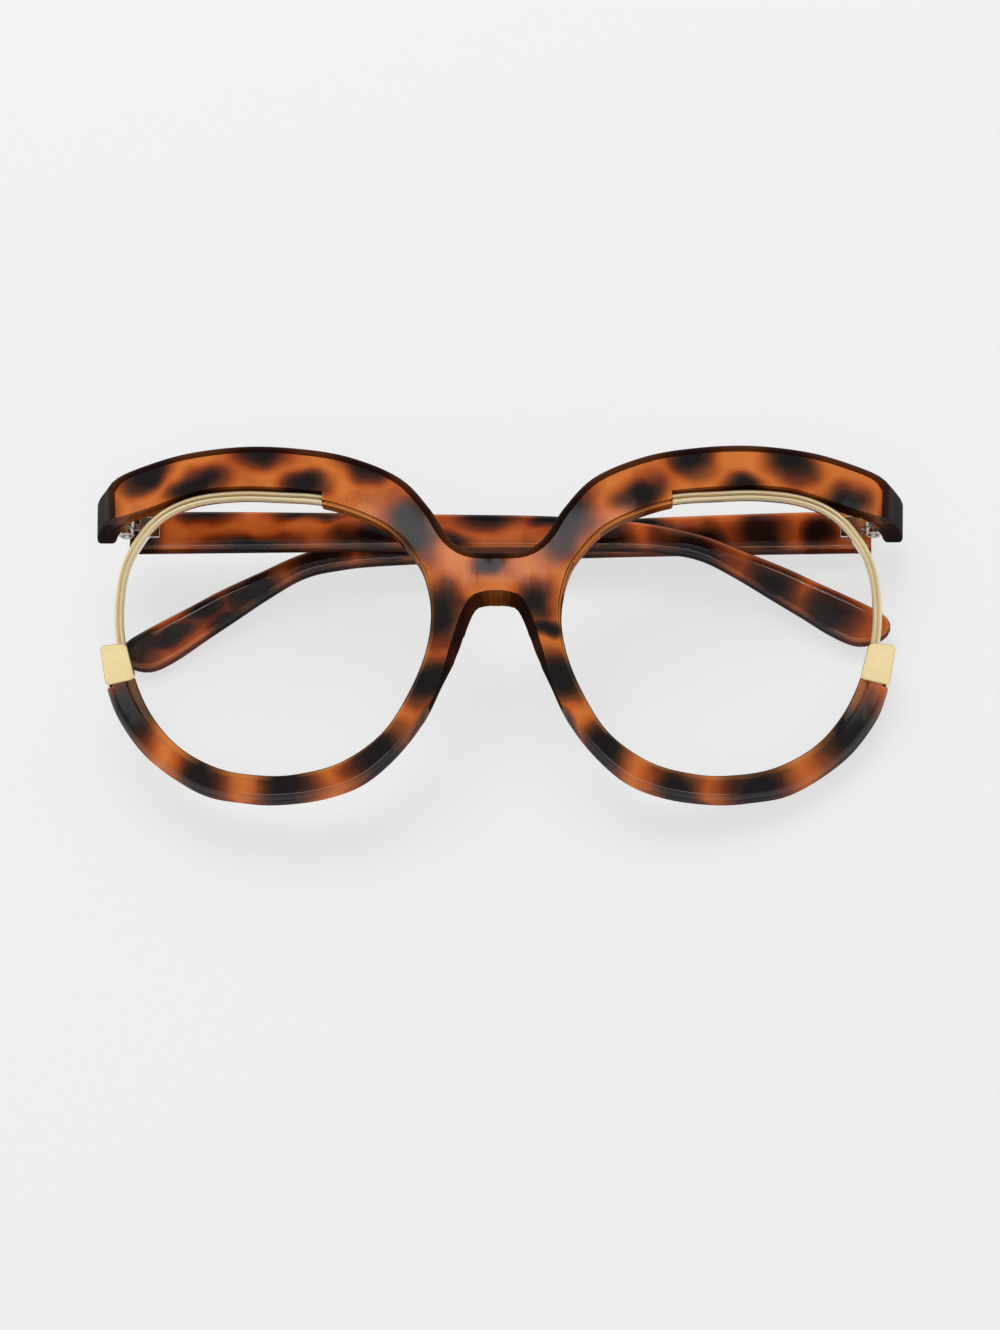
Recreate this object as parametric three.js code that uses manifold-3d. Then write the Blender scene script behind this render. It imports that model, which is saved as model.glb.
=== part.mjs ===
// Round eyeglasses, lying folded on a table with the front facing up.
//
// The front is drawn flat, for the +X half only, and mirrored. It is then curved round the
// wearer's face, tilted and set on the folded temples. Millimetres, +Z up, +Y towards the brow.

import * as THREE from 'three';
import { mergeVertices } from 'three/addons/utils/BufferGeometryUtils.js';
import Module from 'manifold-3d';

const wasm = await Module();
wasm.setup();

// Driving dimensions
const GAP = 0.3;
const FRONT_RADIUS = 290;
const FRONT_DEPTH = 5.6;
const FRONT_EDGE = 0.8;
const SLICE = 14;

const LENS_DEPTH = 3.9;
const LENS_THICKNESS = 1.4;
const LENS_SEAT = 0.5;

const WIRE_WIDTH = 1.65;
const WIRE_FRONT = 2.8;
const WIRE_BACK = 5.0;
const EYELET = { x: 25.6, y: 27.3, radius: 1.7, front: 3.8 };

const BLOCK_FRONT = 0.2;
const BLOCK_BACK = FRONT_DEPTH + GAP;
const BLOCK_PLATE = 1.5;
const BLOCK_SCREW = { inset: 1.3, head: 0.95, shank: 0.45, front: 0.8 };
const ANCHOR_SCREW = { head: 1.15, shank: 0.5, front: 1.8 };
const SCREW_HEAD = 0.7;

const HINGE = { x: 68.1, y: 26, z: -19.8 };
const TILT = THREE.MathUtils.degToRad(8);
const KNUCKLE_RADIUS = 1.45;
const KNUCKLE_TOP = 2.1;
const KNUCKLE_SPLIT = 0.75;
const LEAF = { near: 0.6, far: 2.4, start: 0.2, neck: 2.1, length: 6 };
const PIN_RADIUS = 0.55;
const BORE_RADIUS = 0.85;
const PIN_HEAD = { radius: 1.1, height: 0.75 };

const TEMPLE_INNER = 1.9;
const TEMPLE_OUTER = 5.4;
const TEMPLE_EDGE = 0.9;
const TEMPLE_STACK = 3.9;

// How far under the front's face the end pieces start
const END_COVER = 2.2;

const HINGE_FOOT = [1.2, -3];
const TIP_FOOT = [133, -23.5];
const RIM_FOOT = [57.4, -22.4];

// Colours
const TORTOISE = { color: 0x9c4a16, roughness: 0.15, metalness: 0 };
const GOLD = { color: 0xe2cc92, roughness: 0.2, metalness: 1 };
const STEEL = { color: 0xb9b6ae, roughness: 0.3, metalness: 1 };
const CLEAR = { color: 0xf4f7f6, roughness: 0.05, metalness: 0, transparent: true, opacity: 0.2 };

// Outlines of the +X half of the front, drawn flat
const BROW_TOP = [
  [0, 16.2], [4.9, 16.5], [8.5, 18.9], [12.1, 24.5], [17.4, 30.1], [26.3, 34.1],
  [35.5, 36], [45.7, 36.8], [56.4, 36], [64.8, 33.9], [68.8, 32.2], [70.2, 30.4],
];
const BROW_LOW = [[69.9, 24.2], [62.8, 26], [53.6, 28.7], [46.3, 29.1], [38.9, 28.6], [31.3, 27.7]];
const RIM_OUTER = [
  [69.9, -6.7], [67.6, -12.4], [62, -19.6], [52.8, -26], [44.8, -28], [38, -28.5], [29.7, -27.5],
  [22.5, -24.6], [15.6, -18], [10.9, -10.2], [8.1, -1], [6.3, 4.6], [4.5, 7.8], [2, 8.8], [0, 8.95],
];
const LENS_OPENING = [
  [31.6, 25.6], [39.2, 26.4], [46.5, 26.9], [53.9, 26.4], [59.4, 24.4], [63, 21], [65.9, 15.6],
  [66.9, 8.8], [66.8, 2], [65.6, -5.4], [62.1, -12.8], [56.5, -18.6], [49.2, -22.3], [42, -23.7],
  [35.5, -23.5], [27.8, -21.2], [20.7, -16.1], [16, -9], [12.8, -1.5], [11.8, 5.6], [13, 12.4],
  [15.6, 16.6], [19.2, 20.4], [24.6, 23.3],
];
const TENON = [[69.1, -2.8], [68.9, -6.45]];
const BLOCK = [[70.7, 0.6], [67.3, 0.9], [65.7, -5.3], [70, -6.3]];
const WIRE_TAIL = [[28.8, 26.5], [26.4, 27.1]];

// Outline of a temple: distance from the hinge, height above the hinge's middle
const TEMPLE_UPPER = [
  [0.3, 3.9], [18, 3.8], [55, 2.8], [78, 1.9], [93, 0.2], [104, -2.6], [111.5, -6.2],
  [119, -10], [126.5, -13.9], [133, -17.6], [137, -20.6],
];
const TEMPLE_LOWER = [
  [136.6, -23], [134.6, -24.4], [131.5, -24.4], [123.5, -20.1], [116, -15], [110, -10.8],
  [104, -7.3], [98, -5.8], [87, -4.9], [50, -4.1], [0.3, -3.9],
];

// Curves and outlines

const points2 = (list) => list.map(([x, y]) => new THREE.Vector2(x, y));
const mirror = (list) => list.map((p) => new THREE.Vector2(-p.x, p.y));
const smooth = (list, count) => new THREE.SplineCurve(points2(list)).getSpacedPoints(count);

function smoothLoop(list, count) {
  const path = list.map(([x, y]) => new THREE.Vector3(x, y, 0));
  const curve = new THREE.CatmullRomCurve3(path, true, 'centripetal');
  const loop = curve.getSpacedPoints(count).slice(0, count);
  return loop.map((p) => new THREE.Vector2(p.x, p.y));
}

// Moves an outline sideways; positive is to the left of the way it runs.
function offset(list, distance, closed = false) {
  const last = list.length - 1;
  return list.map((p, i) => {
    const before = list[i > 0 ? i - 1 : closed ? last : 0];
    const after = list[i < last ? i + 1 : closed ? 0 : last];
    const run = after.clone().sub(before).normalize();
    return new THREE.Vector2(p.x - run.y * distance, p.y + run.x * distance);
  });
}

// Some points of a loop, from one place on it to another.
function pick(list, from, to, count) {
  const at = (i) => Math.round(from + ((to - from) * i) / count) % list.length;
  return Array.from({ length: count + 1 }, (_, i) => list[at(i)]);
}

const between = (a, b) => [(a[0] + b[0]) / 2, (a[1] + b[1]) / 2];

function nearest(list, [x, y]) {
  const far = list.map((p) => Math.hypot(p.x - x, p.y - y));
  return far.indexOf(Math.min(...far));
}

function roundCorners(corners, radius) {
  const outline = [];
  corners.forEach((corner, i) => {
    const before = corners[(i + corners.length - 1) % corners.length];
    const after = corners[(i + 1) % corners.length];
    const enter = before.clone().sub(corner).setLength(radius).add(corner);
    const leave = after.clone().sub(corner).setLength(radius).add(corner);
    outline.push(...new THREE.QuadraticBezierCurve(enter, corner, leave).getPoints(4));
  });
  return outline;
}

// Solids

function toSolid(geometry) {
  geometry.deleteAttribute('normal');
  geometry.deleteAttribute('uv');
  const merged = mergeVertices(geometry, 1e-4);
  return new wasm.Manifold(new wasm.Mesh({
    numProp: 3,
    vertProperties: new Float32Array(merged.attributes.position.array),
    triVerts: new Uint32Array(merged.index.array),
  }));
}

function toGeometry(points, faces) {
  const geometry = new THREE.BufferGeometry();
  geometry.setAttribute('position', new THREE.Float32BufferAttribute(points.flat(), 3));
  geometry.setIndex(faces.flat());
  return geometry;
}

function fromSolid(solid) {
  const mesh = solid.getMesh();
  const geometry = new THREE.BufferGeometry();
  geometry.setAttribute('position', new THREE.BufferAttribute(mesh.vertProperties, 3));
  geometry.setIndex(new THREE.BufferAttribute(mesh.triVerts, 1));
  return geometry;
}

function plate(outline, low, high, edge = 0) {
  const geometry = new THREE.ExtrudeGeometry(new THREE.Shape(outline), {
    depth: high - low - 2 * edge,
    bevelEnabled: edge > 0,
    bevelThickness: edge,
    bevelSize: edge,
    bevelOffset: -edge,
    bevelSegments: 1,
  });
  return toSolid(geometry.translate(0, 0, low + edge));
}

function box(x0, x1, y0, y1, z0, z1) {
  const geometry = new THREE.BoxGeometry(Math.abs(x1 - x0), y1 - y0, z1 - z0);
  return geometry.translate((x0 + x1) / 2, (y0 + y1) / 2, (z0 + z1) / 2);
}

// Round bar along Z, or along Y where upright is true.
function bar(x, y, radius, low, high, upright = false) {
  const geometry = new THREE.CylinderGeometry(radius, radius, high - low, 16);
  if (upright) return geometry.translate(x, (low + high) / 2, y);
  return geometry.rotateX(Math.PI / 2).translate(x, y, (low + high) / 2);
}

// Skin over a row of rings with the same number of corners, closed at both ends.
function loft(rings) {
  const size = rings[0].length;
  const faces = [];
  for (let r = 0; r + 1 < rings.length; r += 1) {
    for (let i = 0; i < size; i += 1) {
      const a = r * size + i;
      const b = r * size + ((i + 1) % size);
      faces.push([a, b, b + size], [a, b + size, a + size]);
    }
  }
  const end = (rings.length - 1) * size;
  for (let i = 1; i + 1 < size; i += 1) {
    faces.push([0, i + 1, i], [end, end + i, end + i + 1]);
  }
  return toGeometry(rings.flat(), faces);
}

// Adds a vertex wherever a face crosses a plane of constant x, so that the piece can be curved.
function sliceAlongX(solid) {
  const mesh = solid.getMesh();
  const points = [];
  for (let i = 0; i < mesh.vertProperties.length; i += 3) {
    points.push([...mesh.vertProperties.slice(i, i + 3)]);
  }
  let faces = [];
  for (let i = 0; i < mesh.triVerts.length; i += 3) {
    faces.push([...mesh.triVerts.slice(i, i + 3)]);
  }
  for (let plane = -5 * SLICE; plane <= 5 * SLICE; plane += SLICE) {
    const crossings = new Map();
    const crossing = (a, b) => {
      const key = a < b ? `${a} ${b}` : `${b} ${a}`;
      if (!crossings.has(key)) {
        const [p, q] = a < b ? [points[a], points[b]] : [points[b], points[a]];
        const share = (plane - p[0]) / (q[0] - p[0]);
        crossings.set(key, points.length);
        points.push([plane, p[1] + share * (q[1] - p[1]), p[2] + share * (q[2] - p[2])]);
      }
      return crossings.get(key);
    };
    const sideOf = (i) => (Math.abs(points[i][0] - plane) < 0.02 ? 0 : Math.sign(points[i][0] - plane));
    faces = faces.flatMap((face) => {
      const sides = face.map(sideOf);
      if (!sides.includes(-1) || !sides.includes(1)) return [face];
      const pieces = [[], []];
      face.forEach((a, k) => {
        const b = face[(k + 1) % 3];
        if (sides[k] <= 0) pieces[0].push(a);
        if (sides[k] >= 0) pieces[1].push(a);
        if (sides[k] * sides[(k + 1) % 3] < 0) {
          const middle = crossing(a, b);
          pieces[0].push(middle);
          pieces[1].push(middle);
        }
      });
      return pieces.flatMap((p) => (p.length > 3 ? [[p[0], p[1], p[2]], [p[0], p[2], p[3]]] : [p]));
    });
  }
  return toGeometry(points, faces);
}

// Curves a flat piece of the front round the face.
function curve(geometry) {
  const position = geometry.attributes.position;
  for (let i = 0; i < position.count; i += 1) {
    const x = position.getX(i);
    position.setZ(i, position.getZ(i) - (x * x) / (2 * FRONT_RADIUS));
  }
  return geometry;
}

// The same solid on the other side of the glasses.
function flip(solid) {
  const geometry = fromSolid(solid).scale(-1, 1, 1);
  geometry.index.array.reverse();
  return toSolid(geometry);
}

function named(name, geometry, look) {
  geometry.deleteAttribute('normal');
  geometry.deleteAttribute('uv');
  const merged = mergeVertices(geometry, 1e-4);
  merged.computeVertexNormals();
  const mesh = new THREE.Mesh(merged, new THREE.MeshStandardMaterial(look));
  mesh.name = name;
  return mesh;
}

// Shared outlines: the loop runs from the brow's slot, round the outer side, to the nose.
const fineOpening = smoothLoop(LENS_OPENING, 960);
const opening = pick(fineOpening, 0, fineOpening.length, 72).slice(0, -1);
const slotAt = nearest(fineOpening, BROW_LOW[BROW_LOW.length - 1]);
const tenonAt = nearest(fineOpening, [TENON[0][0], TENON[0][1] - LENS_SEAT]);
const wireEndAt = nearest(fineOpening, between(BLOCK[1], TENON[0]));
const lensOutline = offset(opening, LENS_SEAT, true);
const grooveOutline = offset(opening, LENS_SEAT + GAP, true);
const groove = plate(grooveOutline, -LENS_DEPTH - 1, -LENS_DEPTH + 1);

// Lens
const lens = plate(lensOutline, -LENS_DEPTH - LENS_THICKNESS / 2, -LENS_DEPTH + LENS_THICKNESS / 2);

// Rim wire, with an eyelet on its tail in the brow
const wireMiddle = [
  ...pick(offset(fineOpening, WIRE_WIDTH / 2, true), slotAt, wireEndAt, 26).reverse(),
  ...points2(WIRE_TAIL),
];
const ribbon = (half) => [...offset(wireMiddle, half), ...offset(wireMiddle, -half).reverse()];
const eyelet = toSolid(bar(EYELET.x, EYELET.y, EYELET.radius, -WIRE_BACK, -EYELET.front));
const eyeletHole = toSolid(bar(EYELET.x, EYELET.y, ANCHOR_SCREW.shank + GAP, -20, 0));
const wire = plate(ribbon(WIRE_WIDTH / 2), -WIRE_BACK, -WIRE_FRONT, 0.25)
  .add(eyelet)
  .subtract(eyeletHole)
  .subtract(groove);
const wireRoom = plate(ribbon(WIRE_WIDTH / 2 + GAP), -20, -WIRE_FRONT + GAP)
  .add(toSolid(bar(EYELET.x, EYELET.y, EYELET.radius + GAP, -20, -EYELET.front + GAP)));
const wireHole = plate(ribbon(WIRE_WIDTH / 2 + GAP), -WIRE_BACK - GAP, -WIRE_FRONT + GAP);

// Corner block, a cap over the tenon at the end of the lower rim
const blockOutline = roundCorners(points2(BLOCK), 1);
const blockRoom = plate(roundCorners(offset(points2(BLOCK), -GAP, true), 1), -BLOCK_PLATE - GAP, 5);
const [tenonTop, tenonLow] = TENON.map(([x, y]) => [x + GAP, y + GAP]);
const [roomInner, roomLow] = [BLOCK[2][0] - 2, BLOCK[3][1] - 2];
const tenonRoom = plate(
  points2([[roomInner, roomLow], [roomInner, tenonTop[1]], tenonTop, tenonLow, [tenonLow[0], roomLow]]),
  -20,
  -BLOCK_PLATE,
);
const screwHole = (x, y, screw) => toSolid(bar(x, y, screw.shank + GAP, -20, -screw.front + GAP));
const [screwX, blockEnd] = between(BLOCK[2], BLOCK[3]);
const screwY = blockEnd + BLOCK_SCREW.inset;
const blockScrewHole = screwHole(screwX, screwY, BLOCK_SCREW);
const block = plate(blockOutline, -BLOCK_BACK, BLOCK_FRONT, 0.4)
  .subtract(tenonRoom)
  .subtract(wireHole)
  .subtract(groove)
  .subtract(blockScrewHole);

// Small screws put in from behind
function backScrew(x, y, screw, seat) {
  const back = seat - SCREW_HEAD;
  const driverSlot = toSolid(box(x - 2, x + 2, y - 0.15, y + 0.15, back - 1, back + 0.3));
  return toSolid(bar(x, y, screw.head, back, seat))
    .add(toSolid(bar(x, y, screw.shank, back + SCREW_HEAD / 2, -screw.front)))
    .subtract(driverSlot);
}
const blockScrew = backScrew(screwX, screwY, BLOCK_SCREW, -BLOCK_BACK);
const anchorScrew = backScrew(EYELET.x, EYELET.y, ANCHOR_SCREW, -WIRE_BACK - GAP);
const anchorHole = screwHole(EYELET.x, EYELET.y, ANCHOR_SCREW);

// Front frame: flat outline of one half, from the bridge over the brow and back under the nose
const browTop = smooth(BROW_TOP, 26);
const rimOuter = smooth(RIM_OUTER, 40);
const lensSide = pick(fineOpening, tenonAt, slotAt + fineOpening.length, 48).reverse();
const half = [...browTop, ...smooth(BROW_LOW, 12), ...lensSide, ...points2(TENON), ...rimOuter];
const otherHalf = mirror(half.slice(1, -1)).reverse();
const wholeOutline = [...half.slice(1), ...otherHalf, half[0]];
const bothSides = (solid) => solid.add(flip(solid));
const flatFront = plate(wholeOutline, -FRONT_DEPTH, 0, FRONT_EDGE)
  .subtract(bothSides(groove))
  .subtract(bothSides(wireRoom))
  .subtract(bothSides(blockRoom))
  .subtract(bothSides(blockScrewHole))
  .subtract(bothSides(anchorHole));

// Saddle under the bridge, widening backwards into the moulded nose pads
function saddle() {
  const side = smooth(RIM_OUTER.slice(9), 14);
  const outline = [...side, ...mirror(side).reverse().slice(1)];
  const inner = outline.map((p, i) => {
    const share = Math.min(i, outline.length - 1 - i) / (side.length - 1);
    const pad = Math.sin(Math.PI * Math.min(share * 1.15, 1)) ** 0.7;
    return { reach: 0.1 + 1.5 * Math.min(share * 2.2, 1), back: 5 + 0.9 * share + 2.6 * pad };
  });
  const outer = offset(outline, -2.4);
  const rings = outline.map((p, i) => {
    const { reach, back } = inner[i];
    const shift = outer[i].clone().sub(p).setLength(reach);
    return [
      [p.x, p.y, -1],
      [outer[i].x, outer[i].y, -1.3],
      [outer[i].x, outer[i].y, -back],
      [p.x - shift.x, p.y - shift.y, -back],
    ];
  });
  return curve(loft(rings));
}

// End piece, from the brow's end back to the hinge
const hingeTurn = new THREE.Matrix4().makeRotationX(-TILT).setPosition(0, HINGE.y, HINGE.z);

function endPiece() {
  const ring = (x0, x1, y0, y1, z, edge) => [
    [x0, y0 + edge, z], [x0 + edge, y0, z], [x1 - edge, y0, z], [x1, y0 + edge, z],
    [x1, y1 - edge, z], [x1 - edge, y1, z], [x0 + edge, y1, z], [x0, y1 - edge, z],
  ];
  const inner = HINGE.x + TEMPLE_INNER;
  const outer = HINGE.x + TEMPLE_OUTER;
  const top = TEMPLE_UPPER[0][1];
  const browEnd = BROW_TOP[BROW_TOP.length - 1][0];
  const bow = (browEnd * browEnd) / (2 * FRONT_RADIUS);
  const reach = (-HINGE.z - bow - END_COVER) / Math.cos(TILT);
  const mix = (from, to, share) => from + (to - from) * share;
  const section = (along, innerShare, outerShare, low, high) => ring(
    mix(inner, browEnd - 3.6, innerShare),
    mix(outer, browEnd + 0.4, outerShare),
    -top + low,
    top + high,
    Math.max(along * reach, GAP / 2),
    FRONT_EDGE,
  );
  const body = loft([
    section(0, 0, 0, 0, 0),
    section(0.47, 0.12, 0.1, 0.1, 0.1),
    section(0.79, 0.65, 0.41, 0.3, 0.2),
    section(1, 1, 1, 0.7, 0.1),
  ]);
  return toSolid(body.applyMatrix4(hingeTurn));
}

function leafPocket() {
  const room = box(HINGE.x + LEAF.near - GAP - 2, HINGE.x + LEAF.far + GAP,
    -KNUCKLE_TOP - GAP, KNUCKLE_TOP + GAP, -2, LEAF.length + GAP);
  return toSolid(room.applyMatrix4(hingeTurn));
}

const frontSolid = toSolid(curve(sliceAlongX(flatFront)))
  .add(toSolid(saddle()))
  .add(bothSides(endPiece()))
  .subtract(bothSides(leafPocket()));

// Hinge leaves, on the hinge axis; side is +1 at +X and -1 at -X
function knuckle(low, high) {
  return toSolid(bar(0, 0, KNUCKLE_RADIUS, low, high, true));
}
const hingeBore = toSolid(bar(0, 0, BORE_RADIUS, -5, 5, true));

function frontLeaf(side) {
  const reach = side * LEAF.far;
  const notch = box(-3, 3, -KNUCKLE_SPLIT - GAP / 2, KNUCKLE_SPLIT + GAP / 2, -3, LEAF.neck);
  return toSolid(box(side * LEAF.near, reach, -KNUCKLE_TOP, KNUCKLE_TOP, 0, LEAF.length))
    .add(knuckle(-KNUCKLE_TOP, KNUCKLE_TOP))
    .subtract(toSolid(notch))
    .subtract(hingeBore);
}

function templeLeaf(side) {
  const height = KNUCKLE_SPLIT - GAP / 2;
  const neck = box(-side * LEAF.start, -side * LEAF.length, -height, height, -LEAF.far, -LEAF.near);
  const pad = box(-side * LEAF.neck, -side * LEAF.length, -KNUCKLE_TOP, KNUCKLE_TOP, -LEAF.far, -LEAF.near);
  return toSolid(pad)
    .add(toSolid(neck))
    .add(knuckle(-height, height))
    .subtract(hingeBore);
}

function hingeScrew() {
  const head = KNUCKLE_TOP + GAP;
  const driverSlot = box(-2, 2, head + PIN_HEAD.height - 0.3, head + 2, -0.15, 0.15);
  return toSolid(bar(0, 0, PIN_RADIUS, -KNUCKLE_TOP, head + 0.3, true))
    .add(toSolid(bar(0, 0, PIN_HEAD.radius, head, head + PIN_HEAD.height, true)))
    .subtract(toSolid(driverSlot));
}

// Temple, folded: it runs inwards from the hinge axis and its inner face is up
function temple(side) {
  const outline = [...smooth(TEMPLE_UPPER, 26), ...smooth(TEMPLE_LOWER, 34)];
  const turned = outline.map((p) => new THREE.Vector2(-side * p.x, p.y));
  const pocket = box(side, -side * (LEAF.length + GAP), -KNUCKLE_TOP - GAP, KNUCKLE_TOP + GAP,
    -LEAF.far - GAP, 0);
  return plate(turned, -TEMPLE_OUTER, -TEMPLE_INNER, TEMPLE_EDGE).subtract(toSolid(pocket));
}

// Assembly
const stackRoll = Math.asin(TEMPLE_STACK / (2 * HINGE.x));
const front = new THREE.Group();
front.rotation.set(TILT, stackRoll, 0, 'YXZ');
front.add(named('front_frame', fromSolid(frontSolid), TORTOISE));

for (const side of [-1, 1]) {
  const label = side < 0 ? 'left' : 'right';
  const add = (name, flat, look) => {
    const solid = side < 0 ? flip(flat) : flat;
    front.add(named(`${label}_${name}`, curve(sliceAlongX(solid)), look));
  };
  add('lens', lens, CLEAR);
  add('rim_wire', wire, GOLD);
  add('corner_block', block, GOLD);
  add('corner_block_screw', blockScrew, STEEL);
  add('wire_anchor_screw', anchorScrew, STEEL);

  const hinge = new THREE.Group();
  hinge.position.set(side * HINGE.x, HINGE.y, HINGE.z);
  hinge.rotation.x = -TILT;
  hinge.add(named(`${label}_front_hinge_leaf`, fromSolid(frontLeaf(side)), STEEL));
  hinge.add(named(`${label}_hinge_screw`, fromSolid(hingeScrew()), STEEL));
  front.add(hinge);
}

function templeGroup(label, side) {
  const group = new THREE.Group();
  group.add(named(`${label}_temple`, fromSolid(temple(side)), TORTOISE));
  group.add(named(`${label}_temple_hinge_leaf`, fromSolid(templeLeaf(side)), STEEL));
  return group;
}

// The left temple turns with the front and lies level above the right temple.
const leftTemple = templeGroup('left', -1);
leftTemple.position.set(-HINGE.x, HINGE.y, HINGE.z);
leftTemple.rotation.set(-TILT, -stackRoll, 0, 'XYZ');
front.add(leftTemple);

// The right temple lies flat on the table, and the front hangs from its hinge.
const rightTemple = templeGroup('right', 1);
rightTemple.position.set(0, 0, TEMPLE_OUTER);
const hingePoint = new THREE.Vector3(HINGE.x, HINGE.y, HINGE.z).applyEuler(front.rotation);
front.position.copy(rightTemple.position).sub(hingePoint);

const glasses = new THREE.Group();
glasses.add(front, rightTemple);

// Folded, the glasses stand on the hinge end and the tip of the right temple and on the back of
// the right rim. They are turned so that these three are level.
glasses.updateMatrixWorld(true);
function templeFoot([along, height]) {
  return rightTemple.localToWorld(new THREE.Vector3(-along, height, -TEMPLE_OUTER));
}
function rimFoot([x, y]) {
  return front.localToWorld(new THREE.Vector3(x, y, -FRONT_DEPTH - (x * x) / (2 * FRONT_RADIUS)));
}
const table = new THREE.Plane().setFromCoplanarPoints(
  rimFoot(RIM_FOOT),
  templeFoot(HINGE_FOOT),
  templeFoot(TIP_FOOT),
);
glasses.quaternion.setFromUnitVectors(table.normal, new THREE.Vector3(0, 0, 1));

// Origin on the table, under the middle of the folded glasses
glasses.updateMatrixWorld(true);
const bounds = new THREE.Box3().setFromObject(glasses, true);
const middle = bounds.getCenter(new THREE.Vector3());
glasses.position.set(-middle.x, -middle.y, -bounds.min.z);
glasses.updateMatrixWorld(true);

export default glasses;
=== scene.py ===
# %% [markdown]
# # Round eyeglasses, folded on a table
#
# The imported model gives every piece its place, in metres, with Z up. Here the pieces that the eye
# rests on are modelled again with softer edges and real finishes: the tortoiseshell front and
# temples, the gold rim wires and corner blocks, the clear lenses and the small hinges and screws.

import math
from contextlib import contextmanager

import bpy
from mathutils import Matrix, Vector


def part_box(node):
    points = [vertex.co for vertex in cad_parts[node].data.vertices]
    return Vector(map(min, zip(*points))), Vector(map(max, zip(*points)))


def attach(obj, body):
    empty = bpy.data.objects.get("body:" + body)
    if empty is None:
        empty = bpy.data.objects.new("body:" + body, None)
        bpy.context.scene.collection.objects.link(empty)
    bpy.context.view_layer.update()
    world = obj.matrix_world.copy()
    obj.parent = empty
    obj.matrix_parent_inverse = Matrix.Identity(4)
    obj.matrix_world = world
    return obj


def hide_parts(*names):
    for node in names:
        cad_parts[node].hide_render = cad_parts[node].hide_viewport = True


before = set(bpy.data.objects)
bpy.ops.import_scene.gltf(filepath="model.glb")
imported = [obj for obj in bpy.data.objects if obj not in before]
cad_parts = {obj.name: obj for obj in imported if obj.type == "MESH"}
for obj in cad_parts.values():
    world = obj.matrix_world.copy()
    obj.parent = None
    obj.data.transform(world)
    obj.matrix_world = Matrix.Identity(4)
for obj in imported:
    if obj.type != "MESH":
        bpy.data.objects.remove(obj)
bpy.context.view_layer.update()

# %% [markdown]
# The front of a pair of glasses is cut from a flat sheet, so its pieces are modelled flat too, in
# millimetres, and then moved to where the folded glasses hold them. They could be modelled in
# place, but a flat drawing is far easier to measure. Each moving part has its own frame: the
# front, and one frame at each hinge. A frame is three directions and a place, kept in a matrix.

# %% Frames of the front and of the two temples
MM = 0.001


def frame_at(x_axis, y_axis, z_axis, origin):
    """A matrix that carries millimetres in a part's own frame to metres in the model."""
    turn = Matrix((x_axis, y_axis, z_axis)).transposed().to_4x4()
    return Matrix.Translation(Vector(origin) * MM) @ turn @ Matrix.Scale(MM, 4)


FRONT = frame_at(
    (0.99854, 0.00678, -0.05367),
    (0.00960, 0.95417, 0.29910),
    (0.05324, -0.29918, 0.95271),
    (0.79652, -5.79278, 20.57783),
)
TEMPLE_AXES = (
    (0.99967, 0.002096, -0.025446),
    (0.002096, 0.986525, 0.1636),
    (0.025446, -0.1636, 0.986199),
)
TEMPLES = {
    "left": frame_at(*TEMPLE_AXES, (-68.0084, 24.4778, 13.1461)),
    "right": frame_at(*TEMPLE_AXES, (67.9922, 25.4012, 5.8356)),
}
SIDES = {"left": -1, "right": 1}
print("Front sits at, mm:", [round(v * 1000, 1) for v in FRONT.translation])

# %% [markdown]
# An outline is a handful of points, with a smooth curve led through them. A Bezier
# curve would need handles at each point. A Catmull-Rom curve passes through the points without
# any, which makes it easy to follow a drawing. The curve is then divided evenly, so that the edges
# of the mesh have about the same length all round.


# %% Smooth lines through a few points
def clamp(value, low=0, high=1):
    return min(max(value, low), high)


def smooth(points, spacing, closed=False):
    """Evenly spaced points on a curve through a few given ones."""
    count, fine = len(points), 24
    pick = (lambda i: i % count) if closed else (lambda i: clamp(i, 0, count - 1))
    dense = []
    for i in range(count if closed else count - 1):
        a, b, c, d = (Vector(points[pick(i + k)]) for k in (-1, 0, 1, 2))
        for step in range(fine):
            t = step / fine
            bend = (2 * a - 5 * b + 4 * c - d) * t**2 + (3 * b - a - 3 * c + d) * t**3
            dense.append(0.5 * (2 * b + (c - a) * t + bend))
    dense.append(dense[0] if closed else Vector(points[-1]))
    length = [0]
    for a, b in zip(dense, dense[1:]):
        length.append(length[-1] + (b - a).length)
    steps = max(2, round(length[-1] / spacing))
    line, at = [], 0
    for i in range(steps + (not closed)):
        want = length[-1] * i / steps
        while at < len(dense) - 2 and length[at + 1] < want:
            at += 1
        share = (want - length[at]) / (length[at + 1] - length[at])
        line.append(dense[at].lerp(dense[at + 1], share))
    return line


print("Points on an arch 20 mm wide:", len(smooth([(0, 0), (10, 6), (20, 0)], 1)))

# %% [markdown]
# Three more tools for lines. The front is the same on both sides, so half of it can be mirrored. A
# point of a line is found by a place near it, and a line is widened by going sideways from it.


# %% Helpers for lines
def mirrored(line):
    return [Vector((-p.x, p.y)) for p in line]


def nearest(line, place):
    return min(range(len(line)), key=lambda i: (line[i] - Vector(place)).length)


def sideways(line, i, closed=False):
    """The direction to the left of the way that a line runs, at one of its points."""
    last = len(line) - 1
    before = line[i - 1] if i > 0 or closed else line[0]
    after = line[(i + 1) % (last + 1)] if i < last or closed else line[last]
    run = (after - before).normalized()
    return Vector((-run.y, run.x))


print("Left of a line along X:", sideways([Vector((0, 0)), Vector((1, 0))], 0)[:])

# %% [markdown]
# These are the outlines of the right half of the front, seen straight on. The brow is a deep bar
# over the lens, the lower rim hangs from the bridge and ends at the gold block, and in between the
# lens is held by a wire. They could be traced as one long line, but with a line for each edge the
# ends of the pieces stay crisp where they meet.

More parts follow.
